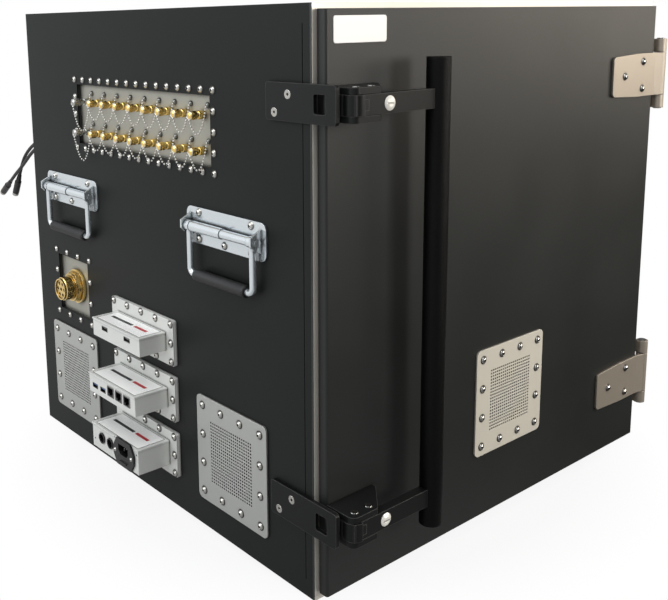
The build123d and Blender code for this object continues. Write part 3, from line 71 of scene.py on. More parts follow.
def linear(code):
    """Linear colour of a six-digit screen colour, channel by channel."""
    shades = [int(code[i : i + 2], 16) / 255 for i in (0, 2, 4)]
    return tuple(s / 12.92 if s <= 0.04045 else ((s + 0.055) / 1.055) ** 2.4 for s in shades) + (1.0,)


def new_group(name, inputs, outputs):
    """Empty shader node group with named float, vector or colour sockets."""
    tree = bpy.data.node_groups.new(name, "ShaderNodeTree")
    for label, kind, value in inputs:
        tree.interface.new_socket(label, in_out="INPUT", socket_type=kind).default_value = value
    for label, kind in outputs:
        tree.interface.new_socket(label, in_out="OUTPUT", socket_type=kind)
    return tree, tree.nodes.new("NodeGroupInput"), tree.nodes.new("NodeGroupOutput")


grain, grain_in, grain_out = new_group(
    "surface_grain",
    [
        ("Scale", "NodeSocketFloat", 900.0),
        ("Stretch", "NodeSocketVector", (1.0, 1.0, 1.0)),
        ("Smooth", "NodeSocketFloat", 0.4),
        ("Coarse", "NodeSocketFloat", 0.5),
    ],
    [("Height", "NodeSocketFloat"), ("Roughness", "NodeSocketFloat"), ("Cloud", "NodeSocketFloat")],
)
place = grain.nodes.new("ShaderNodeTexCoord")
stretched = grain.nodes.new("ShaderNodeVectorMath")
stretched.operation = "MULTIPLY"
fine = grain.nodes.new("ShaderNodeTexNoise")
fine.inputs["Detail"].default_value = 3.0
cloud = grain.nodes.new("ShaderNodeTexNoise")
cloud.inputs["Scale"].default_value = 9.0
cloud.inputs["Detail"].default_value = 4.0
mixed = grain.nodes.new("ShaderNodeMath")
mixed.operation = "MULTIPLY_ADD"
mixed.inputs[1].default_value = 0.5
half = grain.nodes.new("ShaderNodeMath")
half.operation = "MULTIPLY"
half.inputs[1].default_value = 0.5
spread = grain.nodes.new("ShaderNodeMapRange")
spread.inputs["From Min"].default_value = 0.35
spread.inputs["From Max"].default_value = 0.65
for source, target in (
    (place.outputs["Object"], stretched.inputs[0]),
    (grain_in.outputs["Stretch"], stretched.inputs[1]),
    (stretched.outputs[0], fine.inputs["Vector"]),
    (grain_in.outputs["Scale"], fine.inputs["Scale"]),
    (place.outputs["Object"], cloud.inputs["Vector"]),
    (fine.outputs["Fac"], half.inputs[0]),
    (cloud.outputs["Fac"], mixed.inputs[0]),
    (half.outputs[0], mixed.inputs[2]),
    (mixed.outputs[0], spread.inputs["Value"]),
    (grain_in.outputs["Smooth"], spread.inputs["To Min"]),
    (grain_in.outputs["Coarse"], spread.inputs["To Max"]),
    (fine.outputs["Fac"], grain_out.inputs["Height"]),
    (spread.outputs[0], grain_out.inputs["Roughness"]),
    (cloud.outputs["Fac"], grain_out.inputs["Cloud"]),
):
    grain.links.new(source, target)

# Rounded edges in the shading normal, and a mask of them where each finish takes a lighter colour: a
# painted edge highlight.
edges, edges_in, edges_out = new_group(
    "edge_rounding_and_highlight",
    [("Radius", "NodeSocketFloat", 0.0005)],
    [("Normal", "NodeSocketVector"), ("Edge", "NodeSocketFloat")],
)
rounded = edges.nodes.new("ShaderNodeBevel")
rounded.samples = 4
geometry = edges.nodes.new("ShaderNodeNewGeometry")
agree = edges.nodes.new("ShaderNodeVectorMath")
agree.operation = "DOT_PRODUCT"
edge_highlight_mask = edges.nodes.new("ShaderNodeMapRange")
edge_highlight_mask.inputs["From Min"].default_value = 1.0
edge_highlight_mask.inputs["From Max"].default_value = 0.8  # cosine where the painted edge highlight is full
for source, target in (
    (edges_in.outputs["Radius"], rounded.inputs["Radius"]),
    (rounded.outputs["Normal"], agree.inputs[0]),
    (geometry.outputs["Normal"], agree.inputs[1]),
    (agree.outputs["Value"], edge_highlight_mask.inputs["Value"]),
    (rounded.outputs["Normal"], edges_out.inputs["Normal"]),
    (edge_highlight_mask.outputs[0], edges_out.inputs["Edge"]),
):
    edges.links.new(source, target)

# Painted shade: ambient occlusion darkens the colour in corners, recesses and round screw heads.
shade, shade_in, shade_out = new_group(
    "crevice_shade",
    [("Reach", "NodeSocketFloat", 0.005)],
    [("Light", "NodeSocketFloat")],
)
hollow = shade.nodes.new("ShaderNodeAmbientOcclusion")
hollow.samples = 4
openness = shade.nodes.new("ShaderNodeMapRange")
openness.inputs["From Min"].default_value = 0.44
openness.inputs["From Max"].default_value = 0.88
openness.inputs["To Min"].default_value = 0.04
for source, target in (
    (shade_in.outputs["Reach"], hollow.inputs["Distance"]),
    (hollow.outputs["AO"], openness.inputs["Value"]),
    (openness.outputs[0], shade_out.inputs["Light"]),
):
    shade.links.new(source, target)

sides, sides_in, sides_out = new_group(
    "painted_sides",
    [("Limit", "NodeSocketFloat", 0.3)],
    [("Painted", "NodeSocketFloat")],
)
where = sides.nodes.new("ShaderNodeTexCoord")
apart = sides.nodes.new("ShaderNodeSeparateXYZ")
aside = sides.nodes.new("ShaderNodeMath")
aside.operation = "ABSOLUTE"
beyond = sides.nodes.new("ShaderNodeMath")
beyond.operation = "GREATER_THAN"
for source, target in (
    (where.outputs["Object"], apart.inputs[0]),
    (apart.outputs["X"], aside.inputs[0]),
    (aside.outputs[0], beyond.inputs[0]),
    (sides_in.outputs["Limit"], beyond.inputs[1]),
    (beyond.outputs[0], sides_out.inputs["Painted"]),
):
    sides.links.new(source, target)

powder_colour = "171918"


def finish(name, colour, cloudy, edge_highlight, gloss, scale=900.0, stretch=(1.0, 1.0, 1.0), depth=2e-5,
           radius=0.0005, metal=0.0, sockets=(), crevice=0.0, paint=None):
    """Material of one finish: a clouded colour, rounded edges lightened as a painted highlight, grain as
    bump and as gloss.

    crevice is how far, in metres, from a corner the colour is darkened as painted shade; past paint
    metres from the middle plane, on either side, the surface is powder coated instead.
    """
    material = bpy.data.materials.new(name)
    material.use_nodes = True
    nodes, links = material.node_tree.nodes, material.node_tree.links
    shader = nodes["Principled BSDF"]
    shader.inputs["Metallic"].default_value = metal
    for socket, value in sockets:
        shader.inputs[socket].default_value = value
    texture = nodes.new("ShaderNodeGroup")
    texture.node_tree = grain
    texture.inputs["Scale"].default_value = scale
    texture.inputs["Stretch"].default_value = stretch
    texture.inputs["Smooth"].default_value = gloss[0]
    texture.inputs["Coarse"].default_value = gloss[1]
    broken = nodes.new("ShaderNodeGroup")
    broken.node_tree = edges
    broken.inputs["Radius"].default_value = radius
    clouded = nodes.new("ShaderNodeMix")
    clouded.data_type = "RGBA"
    clouded.inputs["A"].default_value = linear(colour)
    clouded.inputs["B"].default_value = linear(cloudy)
    # The lighter edge colour is a painted highlight.
    shown = nodes.new("ShaderNodeMix")
    shown.data_type = "RGBA"
    shown.inputs["B"].default_value = linear(edge_highlight)
    bump = nodes.new("ShaderNodeBump")
    bump.inputs["Distance"].default_value = depth
    for source, target in (
        (texture.outputs["Cloud"], clouded.inputs["Factor"]),
        (clouded.outputs["Result"], shown.inputs["A"]),
        (broken.outputs["Edge"], shown.inputs["Factor"]),
        (texture.outputs["Roughness"], shader.inputs["Roughness"]),
        (texture.outputs["Height"], bump.inputs["Height"]),
        (broken.outputs["Normal"], bump.inputs["Normal"]),
        (bump.outputs["Normal"], shader.inputs["Normal"]),
    ):
        links.new(source, target)
    surface = shown.outputs["Result"]
    # Painted shade in corners and recesses, multiplied into the colour.
    if crevice:
        corners = nodes.new("ShaderNodeGroup")
        corners.node_tree = shade
        corners.inputs["Reach"].default_value = crevice
        darkened = nodes.new("ShaderNodeMix")
        darkened.data_type = "RGBA"
        darkened.blend_type = "MULTIPLY"
        darkened.inputs["Factor"].default_value = 1.0
        links.new(surface, darkened.inputs["A"])
        links.new(corners.outputs["Light"], darkened.inputs["B"])
        surface = darkened.outputs["Result"]
    if paint:
        painted = nodes.new("ShaderNodeGroup")
        painted.node_tree = sides
        painted.inputs["Limit"].default_value = paint
        coated = nodes.new("ShaderNodeMix")
        coated.data_type = "RGBA"
        coated.inputs["B"].default_value = linear(powder_colour)
        bare = nodes.new("ShaderNodeMapRange")
        bare.inputs["To Min"].default_value = metal
        bare.inputs["To Max"].default_value = 0.0
        links.new(surface, coated.inputs["A"])
        links.new(painted.outputs["Painted"], coated.inputs["Factor"])
        links.new(painted.outputs["Painted"], bare.inputs["Value"])
        links.new(bare.outputs[0], shader.inputs["Metallic"])
        surface = coated.outputs["Result"]
    links.new(surface, shader.inputs["Base Color"])
    return material


def dress(material, *names):
    """Gives CAD nodes a finish in place of their plain one."""
    for name in names:
        for entry in nodes_of_cad[name].material_slots:
            entry.material = material


lead_diameter = 0.0055
pvc = finish("pvc_sheath", "161617", "1d1d1e", "2a2a2b", (0.42, 0.55), scale=1500.0, radius=0.0003)
socket_shell = finish("inline_socket", "141415", "1a1a1b", "37383a", (0.3, 0.42), scale=1200.0)


def hang_lead(name, route):
    """Round cord along a smooth curve of the route's points, on the cabinet."""
    curve = bpy.data.curves.new(name, "CURVE")
    curve.dimensions = "3D"
    curve.resolution_u = 16
    curve.bevel_depth = lead_diameter / 2
    curve.bevel_resolution = 5
    curve.use_fill_caps = True
    line = curve.splines.new("NURBS")
    line.points.add(len(route) - 1)
    for spot, point in zip(line.points, route):
        spot.co = (*point, 1.0)
    line.order_u = 3
    line.use_endpoint_u = True
    curve.materials.append(pvc)
    lead = bpy.data.objects.new(name, curve)
    bpy.context.scene.collection.objects.link(lead)
    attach(lead, "cabinet")
    node = name.replace("_cord", "")
    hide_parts(node)


lead_routes = {
    "upper_lead": (
        (-0.294, 0.334, 0.465), (-0.294, 0.352, 0.465), (-0.294, 0.392, 0.449),
        (-0.294, 0.422, 0.430), (-0.294, 0.438, 0.411), (-0.294, 0.449, 0.393),
    ),
    "lower_lead": (
        (-0.303, 0.334, 0.452), (-0.303, 0.353, 0.452), (-0.303, 0.382, 0.4365),
        (-0.303, 0.415, 0.4135), (-0.303, 0.446, 0.3955), (-0.303, 0.467, 0.381),
    ),
}
hang_lead("upper_lead_cord", lead_routes["upper_lead"])
hang_lead("lower_lead_cord", lead_routes["lower_lead"])
dress(pvc, "lead_gland")
dress(socket_shell, "upper_lead_socket", "lower_lead_socket")

# ---- lead tips -------------------------------------------------------------
# Nickel sleeves pressed round the mouths of the two inline sockets; sizes are
# in millimetres from here on.


def facing(direction):
    """Rotation that turns local z to a direction."""
    return np.array(Vector(direction).to_track_quat("Z", "Y").to_matrix())


def stacked(layers):
    """Closed form of successive rings of points, capped flat at both ends."""
    count = layers.shape[1]
    low = np.arange(len(layers) - 1)[:, None] * count
    here = np.arange(count)[None]
    after = (here + 1) % count
    sides = np.stack([low + here, low + after, low + count + after, low + count + here], -1)
    ends = np.stack([np.arange(count)[::-1], np.arange(count) + (len(layers) - 1) * count])
    return layers.reshape(-1, 3), [sides.reshape(-1, 4), ends]


def turned(profile, turns=32, teeth=0):
    """Surface of revolution: radius r(1 + k cos(teeth a)) at height t, for rows (t, r, k)."""
    height, radius, bite = (np.array(column)[:, None] for column in zip(*profile))
    angle = np.arange(turns)[None] * 2 * np.pi / turns
    reach = radius * (1 + bite * np.cos(teeth * angle))
    layers = np.stack([reach * np.cos(angle), reach * np.sin(angle), height + 0 * angle], -1)
    return stacked(layers)


def copies(shape, spots, turn):
    """A shape turned and copied to several spots; a mirroring turn flips the faces back."""
    points, faces = shape
    if np.linalg.det(turn) < 0:
        faces = [part[:, ::-1] for part in faces]
    spots = np.array(spots, float).reshape(-1, 3)
    offsets = np.arange(len(spots))[:, None, None] * len(points)
    placed = (points @ turn.T)[None] + spots[:, None]
    return placed.reshape(-1, 3), [(part[None] + offsets).reshape(-1, part.shape[1]) for part in faces]


def joined(*shapes):
    """Several shapes as one."""
    points, faces, start = [], [], 0
    for spots, parts in shapes:
        points.append(spots)
        faces += [part + start for part in parts]
        start += len(spots)
    return np.concatenate(points), faces


def add_piece(name, shape, material, body, smooth=True):
    """Mesh object of a shape in millimetres in the part's frame, riding on a body."""
    points, faces = shape
    mesh = bpy.data.meshes.new(name)
    mesh.from_pydata((points / 1000).tolist(), [], [face for part in faces for face in part.tolist()])
    mesh.materials.append(material)
    mesh.update()
    if smooth:
        mesh.polygons.foreach_set("use_smooth", [True] * len(mesh.polygons))
        mesh.set_sharp_from_angle(angle=math.radians(40))
    piece = bpy.data.objects.new(name, mesh)
    bpy.context.scene.collection.objects.link(piece)
    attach(piece, body)
    return piece


nickel_plate = finish("nickel_plate", "b9b8b4", "a9a8a4", "e4e3df", (0.14, 0.28), metal=1.0, depth=5e-6,
                      radius=0.0003, crevice=0.002)
sleeve = turned([(0.0, 5.15, 0), (0.4, 5.3, 0), (4.6, 5.3, 0), (5.1, 5.0, 0), (5.1, 3.2, 0), (1.0, 2.9, 0)])
sleeve_from_cord_end = 38.0
sleeves = []
for route in lead_routes.values():
    before, end = (np.array(point) * 1000 for point in route[-2:])
    along = (end - before) / np.linalg.norm(end - before)
    sleeves.append(copies(sleeve, end + along * sleeve_from_cord_end, facing(along)))
add_piece("lead_tip_sleeves", joined(*sleeves), nickel_plate, "cabinet")

# ---- cabinet panels and door skin ------------------------------------------
# Folded and welded sheet steel in satin black powder coat, whose skin has the
# faint orange peel of baked powder; the folds round over and shine, with a painted highlight on their
# edges.
powder = finish("black_powder_coat_shaded_copy", powder_colour, "1e201f", "2f3230", (0.4, 0.48), scale=700.0,
                depth=3e-5, radius=0.0012, crevice=0.005, sockets=[("Specular IOR Level", 0.12)])
dress(powder, "left_panel", "right_panel", "top_panel", "bottom_panel", "rear_panel")
# The door's copy of the coat reflects three times as strongly as the panels': lit and shaded copies of one
# coat, a painted sheen on the door and painted shade on the side walls.
door_powder = finish("door_powder_coat_lit_copy", powder_colour, "1e201f", "2f3230", (0.4, 0.48), scale=700.0,
                     depth=3e-5, radius=0.0012, crevice=0.005, sockets=[("Specular IOR Level", 0.36)])
dress(door_powder, "door_skin")

# ---- door frame, window plates and the door's inner pan --------------------
# Stainless sheet with a fine ground grain, left bare so that the gasket makes
# contact all round; powder coated where it turns into the side walls.
ground = {"scale": 260.0, "stretch": (1.0, 1.0, 14.0), "depth": 6e-6, "metal": 0.5, "radius": 0.0006}
frame_steel = finish("ground_frame", "d0ccc3", "c6c2b9", "e6e3db", (0.3, 0.42), paint=0.32485, **ground)
dress(frame_steel, "front_frame")
window_steel = finish("ground_window", "a5a399", "9b998f", "c3c0b6", (0.34, 0.46), paint=0.3194,
                      crevice=0.006, **ground)
dress(window_steel, "interface_plates")
pan_steel = finish("ground_pan", "c3c0b8", "b4b1a9", "dedbd3", (0.3, 0.42), **ground)
dress(pan_steel, "door_inner_pan")
mesh_gasket = finish("knitted_gasket", "8f8c84", "6f6d67", "a7a49b", (0.4, 0.6), scale=2200.0,
                     depth=2e-4, metal=1.0)
dress(mesh_gasket, "frame_gasket")

# ---- foam absorbers --------------------------------------------------------
# Pyramids of carbon-loaded foam, cut in sheets and glued to the right, top,
# bottom and rear walls and to the door's plug, with a hole for its vent.
foam = finish("carbon_foam", "2a2c31", "33353b", "3d4046", (0.9, 1.0), scale=1800.0, depth=6e-4,
              radius=0.0012, crevice=0.02)
foam_base = 12.0
foam_tip = 3.0
foam_seam = 0.4
foam_height = 40.0
foam_pitch = 45.0


def span(node):
    """Lowest and highest corner of a CAD node, in millimetres."""
    low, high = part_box(node)
    return np.array(low) * 1000, np.array(high) * 1000


def rounded_outline(width, height, corner, steps=8):
    """Points round a rounded rectangle: four quarter circles about the corners' centres."""
    angle = np.linspace(0, np.pi / 2, steps + 1)
    quarter = np.stack([np.cos(angle), np.sin(angle)], 1) * corner
    bends = [quarter @ np.array([[c, s], [-s, c]]) for c, s in ((1, 0), (0, 1), (-1, 0), (0, -1))]
    centres = np.array([(1, 1), (-1, 1), (-1, -1), (1, -1)]) * (width / 2 - corner, height / 2 - corner)
    return np.concatenate([b + c for b, c in zip(bends, centres)])


def pyramids(u_lines, v_lines, left_out=()):
    """Blunt pyramids on the cells between two sets of lines, each a block with its own base."""
    wide, tall = np.diff(u_lines), np.diff(v_lines)
    middle_u, middle_v = u_lines[:-1] + wide / 2, v_lines[:-1] + tall / 2
    blocks = []
    for i, u in enumerate(middle_u):
        for j, v in enumerate(middle_v):
            if (i, j) in left_out:
                continue
            foot = rounded_outline(wide[i] - foam_seam, tall[j] - foam_seam, 1.0, 1)
            peak = rounded_outline(foam_tip, foam_tip, 1.0, 1)
            rows = ((foot, 0.0), (foot, foam_base), (peak, foam_height))
            block = stacked(np.stack([np.column_stack([flat, np.full(len(flat), z)]) for flat, z in rows]))
            blocks.append((block[0] + (u, v, 0.0), block[1]))
    return joined(*blocks)


def lines(low, high):
    """Evenly spaced cell lines from low to high, about a pitch apart."""
    return np.linspace(low, high, round((high - low) / foam_pitch) + 1)


# The sheets stop short of their neighbours' tips; the rear one leaves the fans free.
low, high = span("wall_absorbers")
corner_gap = foam_height + foam_base
rear_gap = foam_height + 2.0
fan_edge = -130.0
sheet_x = (low[0], high[0] - corner_gap)
sheet_y = (low[1], high[1] - rear_gap)
sheet_z = (low[2] + corner_gap, high[2] - corner_gap)
# Columns of each matrix are where local u, v and height point.
sheets = []
for u_range, v_range, axes, origin in (
    (sheet_y, sheet_z, ((0, 0, -1), (1, 0, 0), (0, 1, 0)), (high[0], 0, 0)),
    (sheet_x, sheet_y, ((1, 0, 0), (0, 1, 0), (0, 0, 1)), (0, 0, low[2])),
    (sheet_x, sheet_y, ((1, 0, 0), (0, 1, 0), (0, 0, -1)), (0, 0, high[2])),
    ((fan_edge, sheet_x[1]), sheet_z, ((1, 0, 0), (0, 0, -1), (0, 1, 0)), (0, high[1], 0)),
):
    field = pyramids(lines(*u_range), lines(*v_range))
    sheets.append(copies(field, origin, np.array(axes, float)))
wall_foam = add_piece("wall_foam", joined(*sheets), foam, "cabinet", smooth=False)
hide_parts("wall_absorbers")

# Four cells round the door vent's middle are left out for its duct.
low, high = span("door_absorber")
duct_x, duct_z = (-46.0, 44.0), (126.0, 216.0)
u_lines = np.concatenate([
    np.linspace(low[0], duct_x[0], 6), [sum(duct_x) / 2], np.linspace(duct_x[1], high[0], 6),
])
v_lines = np.concatenate([[low[2], duct_z[0], sum(duct_z) / 2], np.linspace(duct_z[1], high[2], 10)])
duct = [(i, j) for i in (5, 6) for j in (1, 2)]
field = pyramids(u_lines, v_lines, duct)
inward = np.array(((1, 0, 0), (0, 0, 1), (0, 1, 0)), float)
door_foam = add_piece("door_foam", copies(field, (0, low[1], 0), inward), foam, "door",
                      smooth=False)
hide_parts("door_absorber")

# ---- vents -----------------------------------------------------------------
# Laser-cut stainless covers with a fine satin finish, screwed over blocks of
# welded honeycomb.
satin_left = finish("satin_stainless", "b4b5b1", "abaca8", "cfcfca", (0.4, 0.52), scale=1600.0,
                    depth=1e-5, metal=0.6, radius=0.0008, crevice=0.003)
dress(satin_left, "left_vent_plates")
satin_door = finish("satin_door_vent", "d2cdc0", "c9c4b7", "e6e2d8", (0.4, 0.52), scale=1600.0,
                    depth=1e-5, metal=0.4, radius=0.0008, crevice=0.003)
dress(satin_door, "door_vent_plate")
# The honeycomb is coloured near black, darker than its bare metal: painted shade deep in its cells.
comb = finish("honeycomb_painted_shade", "2b2a28", "232220", "3a3936", (0.45, 0.6), scale=600.0, metal=0.6)
dress(comb, "vent_honeycombs", "door_honeycomb")

# ---- coaxial connectors ----------------------------------------------------
# Two rows of gold-plated bulkhead connectors, each closed by a knurled cap
# screwed onto it; the rearmost pair has longer nickel-plated caps.
gold = finish("gold_plate", "fbdc8c", "f6cf74", "fff5d2", (0.1, 0.2), scale=2400.0, depth=6e-6,
              metal=1.0, radius=0.0003, crevice=0.0025)
dress(gold, "coax_connectors")
cap_radius = 4.6
cap_seat = -319.0
outward = facing((-1, 0, 0))
low, high = span("coax_dust_caps")
cap_rows = (high[2] - cap_radius, low[2] + cap_radius)
cap_columns = np.linspace(low[1] + cap_radius, high[1] - cap_radius, 9)
# Rows of height, radius and depth of the knurl, from the plate outwards.
knurls = 20
gold_cap = turned([
    (2.4, 3.4, 0), (2.6, 4.7, 0.03), (3.0, 4.95, 0.05), (8.6, 4.95, 0.05), (9.2, 4.5, 0.02), (9.6, 3.5, 0),
    (11.2, 3.4, 0), (11.6, 4.4, 0.02), (12.1, 5.0, 0.05), (19.4, 5.0, 0.05), (20.4, 4.6, 0.02),
    (21.4, 3.6, 0), (21.9, 1.8, 0),
], 2 * knurls, knurls)
nickel_cap = turned([
    (2.4, 3.4, 0), (2.6, 4.4, 0), (9.0, 4.4, 0), (9.6, 3.2, 0), (14.0, 3.2, 0), (14.6, 4.4, 0.03),
    (15.2, 5.0, 0.05), (24.6, 5.0, 0.05), (25.8, 4.4, 0.02), (26.6, 3.2, 0), (26.9, 1.6, 0),
], 2 * knurls, knurls)
gold_spots = [(cap_seat, y, z) for z in cap_rows for y in cap_columns[:-1]]
nickel_spots = [(cap_seat, cap_columns[-1], z) for z in cap_rows]
gold_caps = add_piece("gold_caps", copies(gold_cap, gold_spots, outward), gold, "cabinet")
add_piece("nickel_caps", copies(nickel_cap, nickel_spots, outward), nickel_plate, "cabinet")
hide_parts("coax_dust_caps")

# ---- bead chains -----------------------------------------------------------
# A nickel bead chain ties each cap to a dome screw on the window plate: it
# hangs from a ring on the cap's nose and comes back up to the screw.
bead_radius = 1.3
bead_pitch = 3.6
hoop_radius = 4.6
hoop_wire = 0.5
chain_start_drop = 5.4
chain_fall = 22.5
long_chain_falls = (40.0, 39.0)
nose_out = 20.6
long_nose_out = 25.6
screw_face = -322.4
low, high = span("dust_cap_screws")
screw_along = -9.5
screw_up = high[2] - cap_rows[0] - 5.6
upward = facing((0, 0, 1))
bead = turned([(-bead_radius * math.cos(a), bead_radius * math.sin(a), 0)
               for a in np.radians((15, 50, 90, 130, 165))], 8)


def hung_beads(start, end, lowest):
    """Bead centres a pitch apart along z = a t^2 + b t + c from start to end, whose least z is lowest."""
    sag, rise = start[2] - lowest, end[2] - start[2]
    a = (math.sqrt(sag) + math.sqrt(sag + rise)) ** 2
    b = -2 * math.sqrt(a * sag)
    t = np.linspace(0, 1, 400)
    line = np.column_stack([start[0] + (end[0] - start[0]) * t, start[1] + (end[1] - start[1]) * t,
                            start[2] + b * t + a * t * t])
    run = np.concatenate([[0], np.cumsum(np.linalg.norm(np.diff(line, axis=0), axis=1))])
    spots = np.linspace(0, run[-1], round(run[-1] / bead_pitch) + 1)
    return np.column_stack([np.interp(spots, run, line[:, k]) for k in range(3)])


def cap_ring(radius, wire, turns=20, sides=8):
    """Ring of wire about local z: a circle of radius wire carried round one of the given radius."""
    angle = (np.arange(turns) * 2 * np.pi / turns)[:, None]
    tube = (np.arange(sides) * 2 * np.pi / sides)[None]
    around = radius + wire * np.cos(tube)
    points = np.stack([around * np.cos(angle), around * np.sin(angle), wire * np.sin(tube) + 0 * angle], -1)
    i, j = np.meshgrid(np.arange(turns), np.arange(sides), indexing="ij")
    after, up = (i + 1) % turns, (j + 1) % sides
    faces = np.stack([i, after, after, i], -1) * sides + np.stack([j, j, up, up], -1)
    return points.reshape(-1, 3), [faces.reshape(-1, 4)]


chain_metal = finish("chain_metal", "d9d8d3", "cdccc7", "f2f1ec", (0.2, 0.3), metal=0.6, depth=2e-6,
                     radius=0.0001)
beads, rings = [], []
for z, long_fall in zip(cap_rows, long_chain_falls):
    for y in cap_columns:
        longest = y == cap_columns[-1]
        nose = cap_seat - (long_nose_out if longest else nose_out)
        end = (screw_face, y + screw_along, z + screw_up)
        fall = long_fall if longest else chain_fall
        beads.append(hung_beads((nose, y, z - chain_start_drop), end, z - fall))
        rings.append((nose, y, z))
chains = copies(bead, np.concatenate(beads), upward)
hoops = copies(cap_ring(hoop_radius, hoop_wire), rings, outward)
add_piece("cap_chains", joined(chains, hoops), chain_metal, "cabinet")

# ---- feedthrough -----------------------------------------------------------
# Turned brass waveguide feedthrough, put through its own window plate and
# clamped from behind by a nut.
brass = finish("turned_brass", "ecd08c", "dfbd74", "f9e8ba", (0.18, 0.3), scale=500.0,
               stretch=(6.0, 1.0, 1.0), depth=1e-5, metal=1.0, radius=0.0004, crevice=0.004)
dress(brass, "feedthrough_body", "feedthrough_nut")

# ---- port boxes ------------------------------------------------------------
# Filter boxes of bead-blasted aluminium on flanged plates, each with a blank
# white label film on its lid, edged in black and striped black and red.
aluminium = finish("blasted_aluminium", "dcddd9", "d1d2ce", "f0f0ee", (0.38, 0.5), scale=2600.0,
                   depth=1.2e-5, metal=0.35, radius=0.0006, crevice=0.003)
dress(aluminium, "video_box_housing", "data_box_housing", "power_box_housing", "port_box_flanges")
film = finish("label_film", "f1f1ef", "ebebe9", "ffffff", (0.22, 0.3), depth=3e-6, radius=0.0002)
ink = finish("black_ink", "1c1c1e", "242426", "333335", (0.3, 0.4), depth=3e-6, radius=0.0001)
red_ink = finish("red_ink", "b3202c", "a81c27", "c43a44", (0.3, 0.4), depth=3e-6, radius=0.0001)
flange_face = -330.8
lid_margin = 7.0
border_length = 108.0
border_width = 0.8
stripe_width = 5.0
black_stripe, red_stripe = 52.0, 30.0
films, borders, stripes, red_stripes = [], [], [], []


def plate(width, height, corner, thickness, ease):
    """Rounded plate standing on local z, its front rim eased."""
    outer = rounded_outline(width, height, corner)
    inner = rounded_outline(width - 2 * ease, height - 2 * ease, max(corner - ease, 0.1))
    rows = ((outer, 0.0), (outer, thickness - ease), (inner, thickness))
    return stacked(np.stack([np.column_stack([flat, np.full(len(flat), z)]) for flat, z in rows]))


for node in ("video_box_housing", "data_box_housing", "power_box_housing"):
    low, high = span(node)
    middle = np.array([(low[0] + flange_face) / 2, (low[1] + high[1]) / 2, high[2]])
    deep = flange_face - low[0] - lid_margin
    border = plate(deep, border_length, 1.2, 0.10, 0.05)
    blank = plate(deep - 2 * border_width, border_length - 2 * border_width, 0.8, 0.16, 0.05)
    borders.append(copies(border, middle, upward))
    films.append(copies(blank, middle, upward))
    stripe = plate(stripe_width, black_stripe, 0.4, 0.20, 0.03)
    stripes.append(copies(stripe, middle + (2.0, 18.0, 0), upward))
    stripe = plate(stripe_width, red_stripe, 0.4, 0.20, 0.03)
    red_stripes.append(copies(stripe, middle + (2.0, -28.0, 0), upward))
add_piece("label_borders", joined(*borders), ink, "cabinet")
add_piece("label_films", joined(*films), film, "cabinet")
add_piece("label_stripes", joined(*stripes), ink, "cabinet")
add_piece("label_red_stripes", joined(*red_stripes), red_ink, "cabinet")

# ---- sockets ---------------------------------------------------------------
# Plated shells and moulded bodies in the fronts of the boxes, with blue USB
# tongues, shield rims round the network sockets and nickel contacts.
shell = finish("plated_shell", "8f8f8c", "7f7f7c", "c9c9c6", (0.2, 0.32), metal=1.0, radius=0.0003,
               crevice=0.004)
dress(shell, "usb_sockets", "video_sockets")
moulded = finish("moulded_black", "0e0e0f", "131314", "2a2a2c", (0.32, 0.45), scale=1800.0,
                 crevice=0.006)
dress(moulded, "network_sockets", "dc_sockets", "mains_inlet", "fuse_drawer")
blue = finish("blue_tongue", "2a62a8", "2458a0", "5b8fce", (0.3, 0.4), depth=5e-6, radius=0.0002)
usb_half_width = 6.65
tongue_rise = 1.2
tongue_root = 13.0
sideways = np.array(((0, 0, -1), (-1, 0, 0), (0, 1, 0)), float)
low, high = span("usb_sockets")
middle_z = (low[2] + high[2]) / 2 + tongue_rise
tongue = plate(10.9, 2.2, 0.3, 11.6, 0.5)
spots = [(low[0] + tongue_root, y, middle_z) for y in (low[1] + usb_half_width, high[1] - usb_half_width)]
add_piece("usb_tongues", copies(tongue, spots, sideways), blue, "cabinet")


def rim(width, height, border, thickness):
    """Flat rectangular frame with a square opening, standing on local z."""
    outer = rounded_outline(width, height, 0.6, 3)
    inner = rounded_outline(width - 2 * border, height - 2 * border, 0.3, 3)
    rows = ((inner, 0.0), (outer, 0.0), (outer, thickness), (inner, thickness), (inner, 0.0))
    layers = np.stack([np.column_stack([flat, np.full(len(flat), z)]) for flat, z in rows])
    points, faces = stacked(layers)
    return points, faces[:1]


network_half_width = 7.85
rim_depth = 0.3
low, high = span("network_sockets")
columns = np.linspace(low[1] + network_half_width, high[1] - network_half_width, 3)
spots = [(low[0] + rim_depth, y, (low[2] + high[2]) / 2) for y in columns]
add_piece("network_rims", copies(rim(16.4, 14.2, 0.7, 0.6), spots, sideways), nickel_plate, "cabinet")
blade_root = 15.2
blades_up = 4.2
low, high = span("mains_inlet")
centre = (low + high) / 2
blade = plate(2.2, 4.2, 0.5, 9.8, 0.6)
blades = ((-7, -2), (7, -2), (0, 2))
spots = [(low[0] + blade_root, centre[1] + y, centre[2] + blades_up + z) for y, z in blades]
add_piece("inlet_pins", copies(blade, spots, sideways), nickel_plate, "cabinet")
dc_half_width = 7.4
stud_root = 15.1
low, high = span("dc_sockets")
stud = turned([(0, 1.35, 0), (8.4, 1.35, 0), (8.9, 1.0, 0), (9.1, 0.4, 0)], 16)
columns = (low[1] + dc_half_width, high[1] - dc_half_width)
spots = [(low[0] + stud_root, y, (low[2] + high[2]) / 2) for y in columns]
add_piece("dc_pins", copies(stud, spots, outward), nickel_plate, "cabinet")
board = finish("filter_board", "1d4a31", "255a3c", "2f6a48", (0.3, 0.42))
dress(board, "filter_boards")

